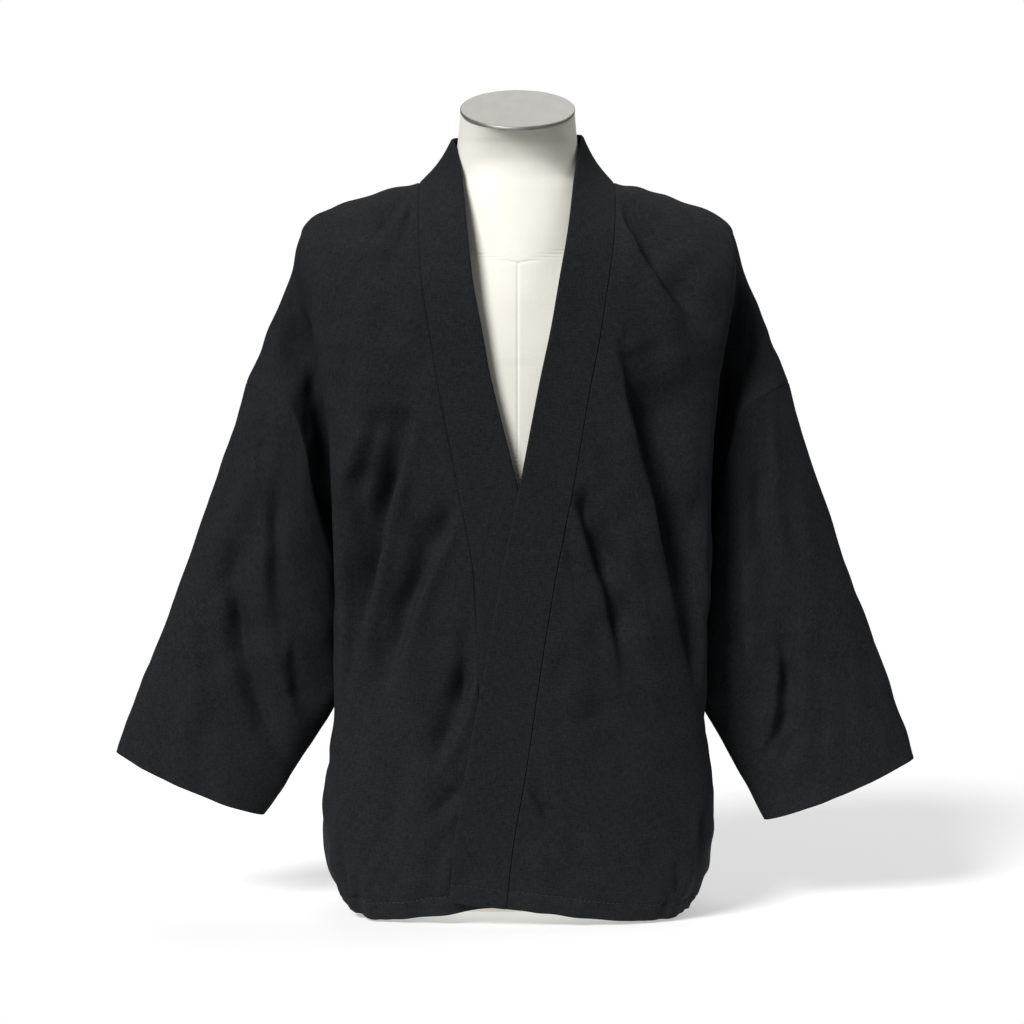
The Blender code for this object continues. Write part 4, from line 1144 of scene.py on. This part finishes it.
THROAT = [
    (0.5750, -0.1100, 0.100),
    (0.6350, -0.1055, 0.098),
    (0.6700, -0.0980, 0.096),
    (0.7000, -0.0880, 0.094),
    (0.7300, -0.0760, 0.088),
    (0.7515, -0.0680, 0.078),
    (0.7680, -0.0625, 0.066),
    (0.7830, -0.0605, 0.060),
    (0.8050, -0.0620, 0.054),
]
NECK_TILT = 0.36
PLATE_CENTRE = (0.0, -0.016, 0.8355)

# %% The form's surface with its seams pressed in
FORM_AROUND = 128
FORM_ROWS = 220
SEAM_PRESS = 0.0008
SEAM_HEIGHTS = (0.670, 0.702)
SEAM_ROWS = 48
SEAM_TURNS = (0.002, 0.005, 0.009, 0.014, 0.020, 0.030)
BLEND = 0.003


def form_rings():
    """Rings of the form at a fine pitch, with grooves at its seams."""
    table = columns(FORM_COLUMNS, FORM)
    values = np.stack([table[name] for name in FORM_COLUMNS], axis=1)
    steps = np.abs(np.diff(values, axis=0)).sum(axis=1)
    keys = np.concatenate([[0.0], np.cumsum(steps)])
    seam = np.interp(np.linspace(*SEAM_HEIGHTS, SEAM_ROWS), values[:, 0], keys)
    at = np.unique(np.concatenate([np.linspace(0, keys[-1], FORM_ROWS), seam]).round(6))
    fine = through(keys, values, at)
    beside_seam = np.concatenate([-np.array(SEAM_TURNS[::-1]), SEAM_TURNS]) + 1.5 * np.pi
    angle = np.linspace(0, 2 * np.pi, FORM_AROUND, endpoint=False)
    angle = np.unique(np.concatenate([angle, beside_seam]).round(6))
    c = np.sign(np.cos(angle)) * np.abs(np.cos(angle)) ** 0.9
    s = np.sign(np.sin(angle)) * np.abs(np.sin(angle)) ** 0.9
    x = fine[:, 1:2] * c
    y = np.where(s > 0, fine[:, 3:4] * s, -fine[:, 2:3] * s)
    throat = columns(THROAT_COLUMNS, THROAT)
    reach = through(throat["z"], throat["front_y"], fine[:, 0])[:, None]
    half = through(throat["z"], throat["half_x"], fine[:, 0])[:, None]
    over = reach * np.sqrt(np.clip(1 - (x / half) ** 2, 0, 1))
    inside = (s < 0) & (fine[:, :1] >= throat["z"][0]) & (fine[:, :1] <= throat["z"][-1])
    smooth = -np.log(np.exp(-y / BLEND) + np.exp(-over / BLEND)) * BLEND
    y = np.where(inside, smooth + BLEND * 0.2, y)
    z = np.repeat(fine[:, :1], len(angle), axis=1)
    lean = np.clip((fine[:, :1] - 0.783) / 0.05, 0, 1) ** 1.5
    z = z + lean * NECK_TILT * (y - PLATE_CENTRE[1])
    return np.stack([x, y, z], axis=2)


form_net = form_rings()
form_up = normals(form_net, around=True)
form_up *= np.sign(((form_net - form_net.mean(axis=1, keepdims=True)) * form_up).sum())
neckline = 0.676 + 0.7 * np.abs(form_net[..., 0]) ** 1.35
in_front = np.clip(-form_up[..., 1] * 3, 0, 1)
middle_seam = np.exp(-((form_net[..., 0] / 0.0009) ** 2)) * (form_net[..., 2] < neckline)
round_seam = np.exp(-(((form_net[..., 2] - neckline) / 0.0011) ** 2))
press = (middle_seam + round_seam) * in_front * SEAM_PRESS
form_net = form_net - form_up * press[..., None]
print("form", form_net.shape[:2])

# %% Form object
flat = np.zeros((form_net.shape[0], form_net.shape[1] + 1, 2))
work = grid_on(close_round(form_net), flat)
bmesh.ops.remove_doubles(work, verts=work.verts, dist=1e-7)
bmesh.ops.holes_fill(work, edges=[e for e in work.edges if e.is_boundary], sides=0)
bmesh.ops.recalc_face_normals(work, faces=work.faces)
for face in work.faces:
    face.smooth = len(face.verts) == 4
form = object_from("form_canvas", work, CANVAS)
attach(form, "root")
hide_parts("torso_form")

# %% [markdown]
# ## The neck plate
# The plate is an oval cast disc that closes the neck, with a rounded rim and a slightly crowned
# top. A circle is stretched to the oval, extruded to its thickness and its rim bevelled.

# %% Plate
PLATE_HALF_WIDTH = 0.0595
PLATE_HALF_DEPTH = 0.0640
PLATE_THICK = 0.003
PLATE_SINK = 0.0022
PLATE_RIM = 0.0009
PLATE_SHARP = math.radians(35)

work = bmesh.new()
bmesh.ops.create_circle(work, cap_ends=True, segments=128, radius=1.0)
made = bmesh.ops.extrude_face_region(work, geom=work.faces[:])
raised = [part for part in made["geom"] if isinstance(part, bmesh.types.BMVert)]
for vert in work.verts:
    vert.co.x *= PLATE_HALF_WIDTH
    vert.co.y *= PLATE_HALF_DEPTH
for vert in raised:
    vert.co.z += PLATE_THICK
rim = [e for e in work.edges if all(v in set(raised) for v in e.verts)]
bmesh.ops.bevel(work, geom=rim, offset=PLATE_RIM, affect="EDGES", segments=3, profile=0.5,
                material=-1)
for vert in work.verts:
    vert.co.z += NECK_TILT * vert.co.y + PLATE_CENTRE[2] - PLATE_SINK
    vert.co.y += PLATE_CENTRE[1]
bmesh.ops.recalc_face_normals(work, faces=work.faces)
for face in work.faces:
    face.smooth = len(face.verts) == 4
for edge in work.edges:
    edge.smooth = edge.calc_face_angle(0.0) < PLATE_SHARP
plate = object_from("plate_metal", work, METAL)
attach(plate, "root")
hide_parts("neck_plate")
